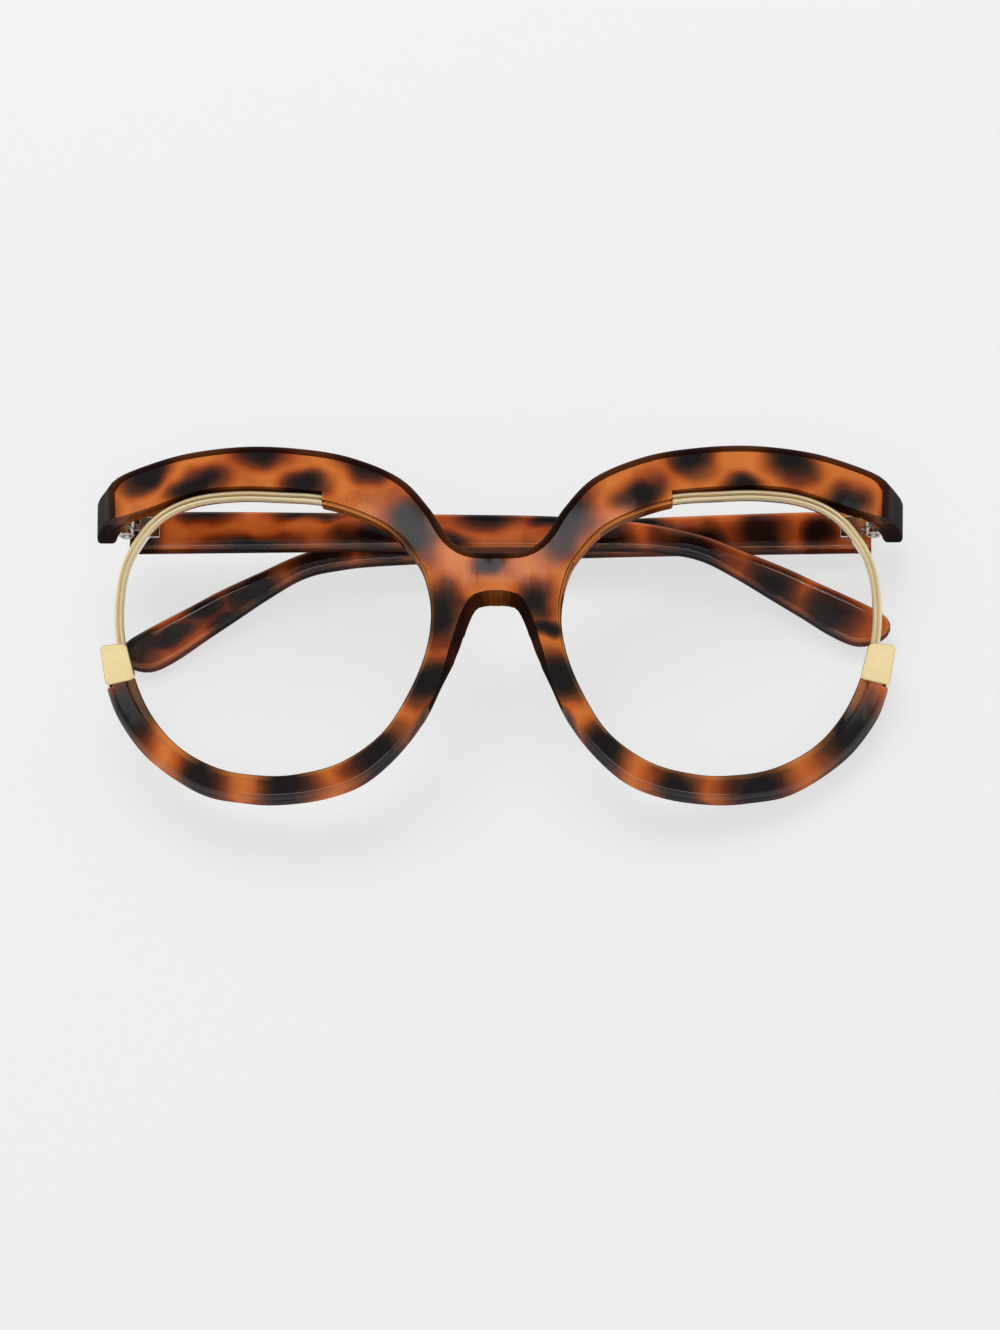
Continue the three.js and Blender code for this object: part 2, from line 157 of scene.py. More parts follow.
# %% Outlines of the front
BROW_TOP = [
    (0, 16.2), (4.9, 16.5), (8.5, 18.9), (12.1, 24.5), (17.4, 30.1), (26.3, 34.1),
    (35.5, 36), (45.7, 36.8), (56.4, 36), (64.8, 33.9), (68.8, 32.2), (70.2, 30.4),
]
BROW_LOW = [(69.9, 24.2), (62.8, 26), (53.6, 28.7), (46.3, 29.1), (38.9, 28.6), (31.3, 27.7)]
RIM_OUTER = [
    (69.9, -6.7), (67.6, -12.4), (62, -19.6), (52.8, -26), (44.8, -28), (38, -28.5), (29.7, -27.5),
    (22.5, -24.6), (15.6, -18), (10.9, -10.2), (8.1, -1), (6.3, 4.6), (4.5, 7.8), (2, 8.8),
    (0, 8.95),
]
LENS_OPENING = [
    (31.6, 25.6), (39.2, 26.4), (46.5, 26.9), (53.9, 26.4), (59.4, 24.4), (63, 21), (65.9, 15.6),
    (66.9, 8.8), (66.5, 2), (64.7, -5.4), (61.3, -12.4), (56.2, -18.2), (49.2, -22.2), (42, -23.7),
    (35.3, -23.7), (27.3, -21.7), (20.1, -16.6), (15.4, -9.3), (12.4, -1.6), (11.6, 5.6),
    (13, 12.4), (15.6, 16.6), (19.2, 20.4), (24.6, 23.3),
]
TENON = [(69.1, -2.8), (68.9, -6.45)]

brow_top = smooth(BROW_TOP, 1.3)
brow_low = smooth(BROW_LOW, 1.5)
rim_outer = smooth(RIM_OUTER, 1.3)
lens_loop = smooth(LENS_OPENING, 1.2, closed=True)
print("Lens opening:", len(lens_loop), "points")

# %% [markdown]
# The face of the rim stops a little short of the lens, because a small ledge runs along there, wide
# at the block and narrow at the nose. The ledge's width could be the same all round, but then the
# rim would look too thin at the nose. The face gets an edge of its own beside the edge of the lens.

# %% Edge of the face along the lens
LENS_AT_BLOCK = (66.2, -2.8)
LEDGE_WIDTH = 1.15
NARROWER_AT_NOSE = 0.6
WIDER_AT_BLOCK = 0.85


def ease(share):
    """From 0 to 1 with a slow start and a slow end."""
    share = clamp(share)
    return share * share * (3 - 2 * share)


lens_side = lens_loop[nearest(lens_loop, LENS_AT_BLOCK):] + lens_loop[:1]
lens_face = []
for i, p in enumerate(lens_side):
    share = i / (len(lens_side) - 1)
    width = LEDGE_WIDTH - NARROWER_AT_NOSE * ease((share - 0.25) / 0.3)
    width += WIDER_AT_BLOCK * max(1 - share / 0.22, 0)
    lens_face.append(p + sideways(lens_side, i) * width)
half = brow_top + brow_low + lens_face[::-1] + [Vector(p) for p in TENON] + rim_outer
front_outline = half + mirrored(half[1:-1])[::-1]
print("Front outline:", len(front_outline), "points")

# %% [markdown]
# Everything is shaped by hand tools in edit mode, which act on what is selected. Each step here
# selects points, edges or faces by a test on their place or direction, enters edit mode, works,
# and leaves it again. A "with" block keeps these together, so that no step forgets to leave.

# %% Selecting and editing
KINDS = {"VERT": "vertices", "EDGE": "edges", "FACE": "polygons"}


def clear_selection():
    bpy.ops.object.select_all(action="DESELECT")


def choose(piece):
    clear_selection()
    piece.select_set(True)
    bpy.context.view_layer.objects.active = piece


def select_only(piece, kind, test):
    for group in KINDS.values():
        for item in getattr(piece.data, group):
            item.select = False
    for item in getattr(piece.data, KINDS[kind]):
        item.select = test(item)


def everything(item):
    return True


@contextmanager
def editing(piece, kind, test=None):
    """Edit mode on the items that pass a test, or on those that are selected already."""
    choose(piece)
    if test:
        select_only(piece, kind, test)
    # In another mode of selecting, more would get selected on the way in.
    bpy.context.tool_settings.mesh_select_mode = [kind == one for one in KINDS]
    bpy.ops.object.mode_set(mode="EDIT")
    yield
    bpy.ops.object.mode_set(mode="OBJECT")


print("Ways of selecting:", list(KINDS))

# %% [markdown]
# The front starts as a flat blank, as it does in the workshop. A blank could be built point by
# point, but it is quicker to take a filled circle with as many corners as the outline has, pull
# its corners to the outline and extrude the face to the thickness of the sheet.

# %% Flat blanks
FRONT_DEPTH = 5.6


def named(name):
    """The object that was added last, under its own name."""
    piece = bpy.context.object
    piece.name = piece.data.name = name
    return piece


def push(x, y, z):
    """Extrudes what is selected and moves it."""
    bpy.ops.mesh.extrude_region_move(TRANSFORM_OT_translate={"value": (x, y, z)})


def blank(name, outline, low, high):
    clear_selection()
    bpy.ops.mesh.primitive_circle_add(vertices=len(outline), radius=40, fill_type="NGON")
    piece = named(name)
    for corner, point in zip(piece.data.vertices, outline):
        corner.co = (point[0], point[1], high)
    with editing(piece, "VERT", everything):
        push(0, 0, low - high)
        bpy.ops.mesh.select_all(action="SELECT")
        bpy.ops.mesh.normals_make_consistent(inside=False)
    return piece


def loose_edges(piece):
    """How many edges don't join exactly two faces: none on a closed piece."""
    uses = {}
    for face in piece.data.polygons:
        for edge in face.edge_keys:
            uses[edge] = uses.get(edge, 0) + 1
    return sum(1 for n in uses.values() if n != 2)


front = blank("front_shell", front_outline, -FRONT_DEPTH, 0)
print("Front blank:", len(front.data.polygons), "faces, loose edges", loose_edges(front))

# %% [markdown]
# The nose rests on pads moulded into the rims. They could be lumps joined to the rim, but moulded
# pads have no seam. So the back edge of the nasal side is pulled inwards and backwards, most in the
# middle of each pad, and the wall becomes a slope.

# %% Nose pads
PAD_START = (10.9, -10.2)
PAD_REACH = 1.2
PAD_SWELL = 2.7


def spot(x, y):
    return (round(x, 3), round(y, 3))


nasal = rim_outer[nearest(rim_outer, PAD_START):]
pads = {}
for i, p in enumerate(nasal):
    share = i / (len(nasal) - 1)
    reach = PAD_REACH * ease(share * 2) + 0.4 * share**4
    swell = PAD_SWELL * math.sin(math.pi * min(share * 1.15, 1)) ** 2
    moved = p + sideways(nasal, i) * reach
    for sign in (1, -1):
        pads[spot(sign * p.x, p.y)] = (sign * moved.x, moved.y, -FRONT_DEPTH - swell)
for corner in front.data.vertices:
    if corner.co.z < -1 and spot(*corner.co.xy) in pads:
        corner.co = pads[spot(*corner.co.xy)]
print("Pad points moved:", len(pads))

# %% [markdown]
# The ledge along the lens is a step in the wall of the opening. A second outline with its own depth
# would need a new blank. Here the wall is cut across a little below the face, the lower part is
# extruded, and its new points are led to the edge of the lens.

# %% Ledge along the lens
LEDGE = 1
opening = {}
for face_point, edge_point in zip(lens_face, lens_side):
    for sign in (1, -1):
        opening[spot(sign * face_point.x, face_point.y)] = (sign * edge_point.x, edge_point.y)


def on_opening(face):
    return all(spot(*front.data.vertices[i].co.xy) in opening for i in face.vertices)


with editing(front, "FACE", on_opening):
    bpy.ops.mesh.bisect(plane_co=(0, 0, -LEDGE), plane_no=(0, 0, 1))
with editing(front, "FACE", lambda face: on_opening(face) and face.center.z < -LEDGE):
    bpy.ops.mesh.extrude_region_move()
for v in front.data.vertices:
    if v.select:
        v.co.x, v.co.y = opening[spot(*v.co.xy)]
print("Ledge:", len(front.data.polygons), "faces, loose edges", loose_edges(front))

# %% [markdown]
# At each end the brow flares out and turns back towards the hinge. It could be a block of its own,
# but on the real front it is one moulding. So the end of the back face is split off by joining two
# corners and extruded in three steps. After each step the new corners are led a bit further from
# the brow's section to the square section that meets the temple.

# %% Section at the hinge
BOW = 580
HINGE = Vector((68.1, 26, -19.8))
HINGE_TURN = Matrix.Rotation(math.radians(-8), 3, "X")
END_START = 65.5
END_HALF = 3.9


def section_at_hinge(x, y):
    """Where a point of the brow's end goes in the square section at the hinge."""
    out = x - END_START
    low = 25.3 - out * 0.18
    high = 33.6 - out * 0.4
    across = 70 + 3.7 * clamp(out / 6.7)
    up = -END_HALF + 2 * END_HALF * clamp((y - low) / (high - low))
    p = HINGE_TURN @ Vector((0, up, 0.15)) + Vector((across, HINGE.y, HINGE.z))
    return Vector((p.x, p.y, p.z + p.x * p.x / BOW))


print("End of the brow meets the hinge at, mm:", [round(v, 1) for v in section_at_hinge(70, 29)])

# %% End pieces
FLARE = 2
FLARE_START = 66
FLARE_LENGTH = 4
END_SPLIT = (33.6, 25.2)
END_STEPS = [(0.5, 0.3, 0.34), (0.86, 0.68, 0.7), (1, 1, 1)]


def make_end(sign):
    corners = [v.co.copy() for v in front.data.vertices]
    back = [i for i, c in enumerate(corners) if c.z < -5 and c.y > 15 and sign * c.x > 60]
    split = []
    for y in END_SPLIT:
        place = Vector((sign * END_START, y))
        split.append(min(back, key=lambda i: (corners[i].xy - place).length))
    with editing(front, "VERT", lambda v: v.index in split):
        bpy.ops.mesh.vert_connect()

    def is_end(face):
        return face.normal.z < -0.9 and sign * face.center.x > 65 and face.center.y > 15

    select_only(front, "FACE", is_end)
    start = []
    for shares in END_STEPS:
        with editing(front, "FACE"):
            push(0, 0, -0.01)
        ring = [v for v in front.data.vertices if v.select]
        start = start or [v.co.copy() for v in ring]
        for v, a in zip(ring, start):
            b = section_at_hinge(sign * a.x, a.y)
            b.x *= sign
            v.co = [p + (q - p) * share for p, q, share in zip(a, b, shares)]


for v in front.data.vertices:
    if v.co.z < -5 and v.co.y > 20 and abs(v.co.x) > FLARE_START:
        share = min((abs(v.co.x) - FLARE_START) / FLARE_LENGTH, 1)
        v.co.x += math.copysign(FLARE * share, v.co.x)
for sign in (1, -1):
    make_end(sign)
print("Front with end pieces:", len(front.data.polygons), "faces, loose edges", loose_edges(front))

# %% [markdown]
# The sheet's edges are turned over on a wheel, so they are round and catch a thin line of light.
# One bevel of a single width would be simpler, but here every edge has its own: the face's outline
# is rounded most, the ledge and the back less. So each edge gets a weight, and a Bevel modifier
# rounds it by that.


# %% Edges that stand out
def sharp_convex(piece, angle):
    """Edges where two faces meet at more than this angle and stand out, not in."""
    faces = {}
    for face in piece.data.polygons:
        for key in face.edge_keys:
            faces.setdefault(key, []).append(face)
    found = set()
    for edge in piece.data.edges:
        pair = faces.get(edge.key, [])
        if len(pair) != 2 or pair[0].normal.angle(pair[1].normal, 0) < angle:
            continue
        one, two = pair
        a, b = (piece.data.vertices[i].co for i in edge.vertices)
        if (one.normal + two.normal).dot(a + b - one.center - two.center) > 0:
            found.add(edge.index)
    return found


front_edges = sharp_convex(front, math.radians(48))
print("Edges to round:", len(front_edges))

# %% Rounded edges
BACK_ROUND, WALL_ROUND, LEDGE_ROUND = 0.7, 0.6, 0.3
BROW_ROUND, LOWER_ROUND, FACE_ROUND = 1.5, 1.3, 1
WIDEST_ROUND = 2


def edge_width(edge):
    """How widely an edge of the front is rounded, in millimetres."""
    a, b = (front.data.vertices[i].co for i in edge.vertices)
    if max(a.z, b.z) < -1.5:
        return BACK_ROUND
    if min(a.z, b.z) <= -0.001:
        on_ledge = max(abs(a.z + LEDGE), abs(b.z + LEDGE)) < 0.01
        return LEDGE_ROUND if on_ledge else WALL_ROUND
    if spot(*a.xy) in opening and spot(*b.xy) in opening:
        return LEDGE_ROUND
    x, y = abs(a.x + b.x) / 2, (a.y + b.y) / 2
    if min(a.y, b.y) > 15.5 and (y > 31 or x < 25 or x > 69):
        return BROW_ROUND
    return LOWER_ROUND if min(a.y, b.y) < -8 else FACE_ROUND


weights = front.data.attributes.new("bevel_weight_edge", "FLOAT", "EDGE")
for index in front_edges:
    weights.data[index].value = edge_width(front.data.edges[index]) / WIDEST_ROUND
choose(front)
rounder = front.modifiers.new("rounded edges", "BEVEL")
rounder.limit_method = "WEIGHT"
rounder.offset_type = "OFFSET"
rounder.width = WIDEST_ROUND
rounder.segments = 4
rounder.use_clamp_overlap = False
bpy.ops.object.modifier_apply(modifier=rounder.name)
print("Front rounded:", len(front.data.polygons), "faces, loose edges", loose_edges(front))

# %% [markdown]
# Light that enters a sheet of tortoiseshell comes out again at some of its edges, which glow, while
# edges that are seen through more plastic look deep and dark. A see-through plastic would need many
# bounces of light to show this. Here both are painted into the colour instead: each face gets a
# number by its place and the way it faces, above 0 for a painted highlight and below 0 for painted
# shade, which the material reads as an attribute. A second number says how much of a side wall the
# face is, because a wall is only buffed and mirrors less.

# %% Edges with a painted glow or painted shade
LENS_MIDDLE = Vector((40, 1.5))


def by_nose(face):
    return abs(face.center.x) < 12 and -12 < face.center.y < 10


def front_painted_light(face):
    """Above 0 where an edge gets a painted glow, below 0 where it gets painted shade."""
    up, x, y, z = face.normal, abs(face.center.x), face.center.y, face.center.z
    # Walls round the nose
    if by_nose(face) and z < -0.6 and up.z < 0.93:
        return -0.72 - 0.28 * min(x / 3, 1)
    # Ends, top and underside of the brow
    if x > 69 and y > 15 and up.z < 0.97:
        return -0.98
    if y > 14 and up.y > 0.05 and up.z < 0.995:
        return -1 if up.z > 0.1 else -0.4
    if y > 20 and up.y < -0.6 and up.z < 0.3:
        return -0.7
    # Floor of the ledge, and the low wall above it
    if up.z > 0.97 and -1.2 < z < -0.8:
        return 0.7
    if abs(up.z) < 0.2 and -0.9 < z:
        return -1
    # Flat faces, then the outer rounds, then the rounds along the lens
    if not 0.15 < up.z < 0.97:
        return 0
    outwards = Vector((math.copysign(up.x, up.x * face.center.x), up.y))
    if (Vector((x, y)) - LENS_MIDDLE).dot(outwards) > 0:
        return 0.1
    beside_lens = z < -LEDGE or up.z < 0.7
    return -0.9 if beside_lens and y < 14 else 1


print("Faces near the nose:", sum(by_nose(face) for face in front.data.polygons))


# %% Painted light marks on the edges of the front
def store_painted_light_and_walls(piece, test):
    """Stores the painted light mark of each face, glow or shade, and how much of a side wall it is.
    """
    edge = piece.data.attributes.new("edge", "FLOAT", "FACE")
    wall = piece.data.attributes.new("wall", "FLOAT", "FACE")
    for face in piece.data.polygons:
        mark = test(face)
        lean = clamp((0.6 - abs(face.normal.z)) / 0.4)
        if piece is not front and face.normal.y > 0.1:
            lean = max(lean, 0.65)
        elif by_nose(face) and mark < -0.55:
            lean = 1.12
        elif abs(mark) > 0.95:
            lean = 1
        edge.data[face.index].value = mark
        wall.data[face.index].value = lean


store_painted_light_and_walls(front, front_painted_light)
marks = [item.value for item in front.data.attributes["edge"].data]
print("Faces that glow:", sum(m > 0 for m in marks), "and look deep:", sum(m < 0 for m in marks))

# %% [markdown]
# The front follows the face, in a shallow bow. A bent sheet could be drawn as one, but a flat one
# is easier to work on, so the bow comes last. The flat piece is sliced across every few
# millimetres, so that it has edges to bend at, and each point is then set back by the square of its
# distance from the middle.


# %% Bow of the front
def slice_across(piece, spacing):
    reach = max(abs(v.co.x) for v in piece.data.vertices)
    with editing(piece, "VERT"):
        for i in range(-int(reach / spacing), int(reach / spacing) + 1):
            bpy.ops.mesh.select_all(action="SELECT")
            bpy.ops.mesh.bisect(plane_co=(i * spacing, 0, 0), plane_no=(1, 0, 0))


def bow(piece):
    for v in piece.data.vertices:
        v.co.z -= v.co.x**2 / BOW


def finish_mesh(piece, place, sharp=40):
    """Merges doubles, turns faces out, moves the mesh to its place and smooths its shading."""
    with editing(piece, "VERT", everything):
        bpy.ops.mesh.remove_doubles(threshold=0.002)
        bpy.ops.mesh.normals_make_consistent(inside=False)
    piece.data.transform(place)
    bpy.ops.object.shade_smooth_by_angle(angle=math.radians(sharp))
    even = piece.modifiers.new("even normals", "WEIGHTED_NORMAL")
    even.keep_sharp = True
    bpy.ops.object.modifier_apply(modifier=even.name)
    size = [round(d * 1000, 1) for d in piece.dimensions]
    print(piece.name, "mm", size, "faces", len(piece.data.polygons), "loose", loose_edges(piece))


slice_across(front, 3.1)
bow(front)
finish_mesh(front, FRONT)

# %% [markdown]
# The lens is a thin clear shell. A filled outline would be one face, which can't be domed. So the
# outline is extruded and shrunk towards the middle again and again, which gives rings that can be
# raised into a shallow dome before the sheet gets its thickness.

# %% Outline of a lens
LENS_DEPTH = 3.9
LENS_THICKNESS = 1.4
LENS_SEAT = 0.4
LENS_RADIUS = 27
LENS_RISE = 0.9
LENS_RINGS = (0.86, 0.84, 0.8, 0.75, 0.67, 0.5)


def offset_line(line, distance, closed=False):
    """The same line moved sideways: positive is to the left of the way it runs."""
    return [p + sideways(line, i, closed) * distance for i, p in enumerate(line)]


lens_outline = offset_line(lens_loop, LENS_SEAT, closed=True)
print("Lens outline:", len(lens_outline), "points")


# %% Lenses
def make_lens(side):
    clear_selection()
    bpy.ops.mesh.primitive_circle_add(
        vertices=len(lens_outline), radius=LENS_RADIUS, fill_type="NOTHING"
    )
    lens = named(side + "_clear_lens")
    for corner, p in zip(lens.data.vertices, lens_outline):
        corner.co = (SIDES[side] * p.x, p.y, 0)
    middle = sum((v.co for v in lens.data.vertices), Vector()) / len(lens.data.vertices)
    with editing(lens, "EDGE", everything):
        for shrink in LENS_RINGS:
            bpy.ops.mesh.extrude_edges_move()
            bpy.ops.transform.resize(value=(shrink, shrink, 1), center_override=middle)
        bpy.ops.mesh.edge_face_add()
    for v in lens.data.vertices:
        dome = LENS_RISE - LENS_RISE * ((v.co - middle).xy.length / LENS_RADIUS) ** 2
        v.co.z = dome - LENS_DEPTH + LENS_THICKNESS / 2
    with editing(lens, "FACE", everything):
        push(0, 0, -LENS_THICKNESS)
    slice_across(lens, 6)
    bow(lens)
    finish_mesh(lens, FRONT)
    return lens


lenses = {side: make_lens(side) for side in SIDES}

# %% [markdown]
# A gold wire carries the lens between the brow and the block. It is a rounded bar with a shallow
# groove along its front, which shows as a dark line between two bright ones. It could be extruded
# step by step, but a path with a small profile drawn along it is easier to change.

# %% Line and profile of a wire
WIRE_WIDTH = 1.65
WIRE_CLEARANCE = 0.35
WIRE_MIDDLE = -2.75
WIRE_TAIL = [(26.4, 27.1), (28.8, 26.5)]
WIRE_END = (66.6, -1.5)
WIRE_PROFILE = [
    (-0.825, -0.8), (-0.55, -1.1), (0.55, -1.1), (0.825, -0.8), (0.825, 0.5), (0.76, 0.82),
    (0.6, 1.04), (0.42, 1.1), (0.22, 1.04), (0.08, 0.9), (0, 0.75), (-0.08, 0.9), (-0.22, 1.04),
    (-0.42, 1.1), (-0.6, 1.04), (-0.76, 0.82), (-0.825, 0.5),
]


def path(name, points, closed=False):
    clear_selection()
    bpy.ops.curve.primitive_bezier_curve_add()
    line = named(name)
    line.data.dimensions = "2D"
    line.data.fill_mode = "NONE"
    line.data.splines.clear()
    spline = line.data.splines.new("POLY")
    spline.points.add(len(points) - 1)
    for point, p in zip(spline.points, points):
        point.co = (p[0], p[1], 0, 1)
    spline.use_cyclic_u = closed
    return line


wire_run = offset_line(lens_loop, WIRE_WIDTH / 2 + WIRE_CLEARANCE, closed=True)
wire_line = [Vector(p) for p in WIRE_TAIL] + wire_run[: nearest(lens_loop, WIRE_END) + 1]
print("Wire:", len(wire_line), "points along it,", len(WIRE_PROFILE), "round it")


# %% Rim wires
def make_wire(side):
    profile = path("wire_profile", WIRE_PROFILE, closed=True)
    wire = path(side + "_gold_wire", [(SIDES[side] * p.x, p.y) for p in wire_line])
    wire.data.bevel_mode = "OBJECT"
    wire.data.bevel_object = profile
    wire.data.use_fill_caps = True
    choose(wire)
    bpy.ops.object.convert(target="MESH")
    wire = bpy.context.object
    bpy.data.objects.remove(profile)
    for v in wire.data.vertices:
        v.co.z += WIRE_MIDDLE
    bow(wire)
    finish_mesh(wire, FRONT, 30)
    return wire


wires = {side: make_wire(side) for side in SIDES}

# %% [markdown]
# A cast block caps the end of the lower rim and takes the end of the wire. It could be a blank like
# the front, but with four corners a cube is the shorter way: its upright edges are moved to the
# block's corners. Those edges get a wide round, and the edges of its face a fine one.

# %% Bevels on chosen edges
SHARP = 60


def bevel_edges(piece, test, width, segments):
    with editing(piece, "EDGE", test):
        bpy.ops.mesh.bevel(
            offset=width, offset_type="OFFSET", segments=segments, profile=0.5, affect="EDGES",
            clamp_overlap=False, loop_slide=True,
        )


def bevel_sharp(piece, width, segments):
    rims = sharp_convex(piece, math.radians(SHARP))
    bevel_edges(piece, lambda edge: edge.index in rims, width, segments)


print("Sharp from", SHARP, "degrees on")

# %% Corner blocks
BLOCK = [(71.3, 0.9), (66.4, 1.1), (64.6, -5.6), (70, -6.6)]
BLOCK_FRONT = 0.2
BLOCK_BACK = -5.9
BLOCK_ROUND = 0.9
BLOCK_EDGE = 0.16


def make_block(side):
    clear_selection()
    bpy.ops.mesh.primitive_cube_add(size=2)
    block = named(side + "_gold_block")
    quarter = {(1, 1): BLOCK[0], (-1, 1): BLOCK[1], (-1, -1): BLOCK[2], (1, -1): BLOCK[3]}
    for v in block.data.vertices:
        x, y = quarter[(round(v.co.x), round(v.co.y))]
        v.co = (SIDES[side] * x, y, BLOCK_FRONT if v.co.z > 0 else BLOCK_BACK)
    with editing(block, "VERT", everything):
        bpy.ops.mesh.normals_make_consistent(inside=False)

    def upright(edge):
        low, high = (block.data.vertices[i].co.z for i in edge.vertices)
        return abs(low - high) > 1

    bevel_edges(block, upright, BLOCK_ROUND, 6)
    bevel_sharp(block, BLOCK_EDGE, 3)
    bow(block)
    finish_mesh(block, FRONT, 30)
    return block


blocks = {side: make_block(side) for side in SIDES}

# %% [markdown]
# A temple is cut from the same sheet as the front. Its outline runs straight from the hinge and
# drops behind the ear, and the two tips end at slightly different heights, as on a pair that has
# been worn. Its faces slope down to the edges in a wide chamfer. A bevel that wide would break in
# the tight bend of the tip, so each face is extruded a little and led inwards, and only the two
# rims that are left are bevelled.

# %% Outline of a temple
TEMPLE_LINE = [
    (0.3, 3.9), (18, 3.8), (55, 2.8), (78, 1.9), (93, 0.2), (104, -2.6), (111.5, -6),
    (119, -9.6), (124, -12.4), (128.8, -15), (133.2, -17.5), (135.3, -18.9), (136.6, -20.6),
    (136.5, -22.3), (135.4, -23.6), (133.8, -24.4), (132, -24.8), (130.2, -24.6), (128.2, -23.7),
    (125.3, -21.9), (121.4, -19), (116.2, -15.3), (110, -10.9), (104, -7.3), (98, -5.8),
    (87, -4.9), (50, -4.1), (0.3, -3.9),
]
TEMPLE_LENGTH = 137
TEMPLE_INNER = -1.9
TEMPLE_OUTER = -5.4
CHAMFER_WIDTH = 1.6
CHAMFER_DROP = 0.45
TEMPLE_ROUNDS = ((CHAMFER_DROP, 0.9, 4), (0, 0.25, 2))
temple_outline = smooth(TEMPLE_LINE, 1.1)
print("Temple outline:", len(temple_outline), "points")


# %% Chamfer and rims of a temple
def chamfer(temple, outline, inward):
    for way in (1, -1):
        def broad(face):
            return way * face.normal.z > 0.9 and len(face.vertices) > 9

        with editing(temple, "FACE", broad):
            push(0, 0, way * CHAMFER_DROP)
        for v in temple.data.vertices:
            if v.select:
                x, y = inward[nearest(outline, v.co.xy)]
                v.co.x, v.co.y = (v.co.x if abs(v.co.x) < 1 else x), y


def round_rims(temple):
    """Rounds the rims at each level. The chamfer's rim is left sharp across the hinge end."""
    for drop, width, segments in TEMPLE_ROUNDS:
        for level in (TEMPLE_INNER - drop, TEMPLE_OUTER + drop):
            def on_rim(edge):
                ends = [temple.data.vertices[i].co for i in edge.vertices]
                at_hinge = max(abs(p.x) for p in ends) < 1
                return max(abs(p.z - level) for p in ends) < 0.001 and not (at_hinge and drop)

            bevel_edges(temple, on_rim, width, segments)


print("Rims rounded by, mm:", [width for drop, width, segments in TEMPLE_ROUNDS])

# %% Temples
TIP_DRAWN_OUT = {"left": (2.2, 1.2), "right": (0.8, -1)}


# Painted light on a temple: its side walls get painted shade, its chamfers a painted glow.
def temple_painted_light(face):
    flat = abs(face.normal.z)
    return -0.8 if flat < 0.5 else 0.4 if flat < 0.95 else 0


def make_temple(side):
    longer, raised = TIP_DRAWN_OUT[side]
    turned = []
    for p in temple_outline:
        share = (p.x / TEMPLE_LENGTH) ** 3
        turned.append(Vector((-SIDES[side] * (p.x + longer * share), p.y + raised * share)))
    low, high = TEMPLE_OUTER + CHAMFER_DROP, TEMPLE_INNER - CHAMFER_DROP
    temple = blank(side + "_temple_shell", turned, low, high)
    chamfer(temple, turned, offset_line(turned, SIDES[side] * CHAMFER_WIDTH, closed=True))
    round_rims(temple)
    store_painted_light_and_walls(temple, temple_painted_light)
    finish_mesh(temple, TEMPLES[side])
    return temple


temples = {side: make_temple(side) for side in SIDES}

# %% [markdown]
# A hinge is two leaves that share a barrel: two knuckles on the front's leaf, one on the temple's,
# and a screw through all three. A knuckle could be spun from a small profile, but a cylinder round
# the hinge's axis is quicker: its ends are inset, and bridging the two inner faces opens the hole.

# %% Knuckles of the hinges
KNUCKLE_RADIUS = 1.45
KNUCKLE_WALL = 0.6
KNUCKLE_SPANS = {"top": (0.85, 2.1), "middle": (-0.7, 0.7), "bottom": (-2.1, -0.85)}


def make_knuckle(low, high):
    clear_selection()
    bpy.ops.mesh.primitive_cylinder_add(
        vertices=36, radius=KNUCKLE_RADIUS, depth=high - low, location=(0, (low + high) / 2, 0),
        rotation=(math.pi / 2, 0, 0),
    )
    knuckle = bpy.context.object
    bpy.ops.object.transform_apply()
    with editing(knuckle, "FACE", lambda face: abs(face.normal.y) > 0.9):
        bpy.ops.mesh.inset(thickness=KNUCKLE_WALL)
        bpy.ops.mesh.bridge_edge_loops()
    bevel_sharp(knuckle, 0.15, 3)
    return knuckle


knuckles = {name: make_knuckle(*span) for name, span in KNUCKLE_SPANS.items()}
print("Knuckles:", {name: loose_edges(k) for name, k in knuckles.items()}, "loose edges")

# %% [markdown]
# The plate of a leaf starts as a cube. It is cut across where the knuckles part, and the lugs that
# reach the barrel are extruded from it: two outer ones on the front's leaf, one in the middle on
# the temple's. Plate and knuckles could stay apart, but a real leaf is one piece of metal, so they
# are joined.


# %% Leaves of the hinges
def copy_of(piece):
    choose(piece)
    bpy.ops.object.duplicate()
    return bpy.context.object


def make_leaf(name, middle, size, split, reach, is_lug, barrel):
    clear_selection()
    bpy.ops.mesh.primitive_cube_add(size=1, location=middle, scale=size)
    leaf = named(name)
    bpy.ops.object.transform_apply()
    for cut in (split, -split):
        with editing(leaf, "FACE", everything):
            bpy.ops.mesh.bisect(plane_co=(0, cut, 0), plane_no=(0, 1, 0))
    with editing(leaf, "FACE", is_lug):
        push(*reach)
    bevel_sharp(leaf, 0.22, 3)
    parts = [copy_of(knuckle) for knuckle in barrel]
    choose(leaf)
    for part in parts:
        part.select_set(True)
    bpy.ops.object.join()
    return leaf


front_leaves, temple_leaves = {}, {}
for side, way in SIDES.items():
    front_leaves[side] = make_leaf(
        side + "_front_leaf", (way * 1.5, 0, 4.05), (1.8, 4.2, 3.9), 0.9, (0, 0, -2.1),
        lambda face: face.normal.z < -0.9 and abs(face.center.y) > 0.9,
        (knuckles["top"], knuckles["bottom"]),
    )
    temple_leaves[side] = make_leaf(
        side + "_temple_leaf", (-way * 4.05, 0, -1.5), (3.9, 4.2, 1.8), 0.6, (way * 1.9, 0, 0),
        lambda face: way * face.normal.x > 0.9 and abs(face.center.y) < 0.6,
        (knuckles["middle"],),
    )
    finish_mesh(front_leaves[side], TEMPLES[side], 35)
    finish_mesh(temple_leaves[side], TEMPLES[side], 35)
for knuckle in knuckles.values():
    bpy.data.objects.remove(knuckle)

# %% [markdown]
# Six small screws hold the hinges, the blocks and the ends of the wires. A thread would be too fine
# to see, so all are made the same plain way: a cylinder for the head, with a shank extruded from an
# inset on one side. On the other side the inset disc is cut twice across, and the strip between the
# cuts is pushed in for the driver.

# %% Shape of a screw
SLOT_HALF = 0.16
SLOT_DEPTH = 0.35


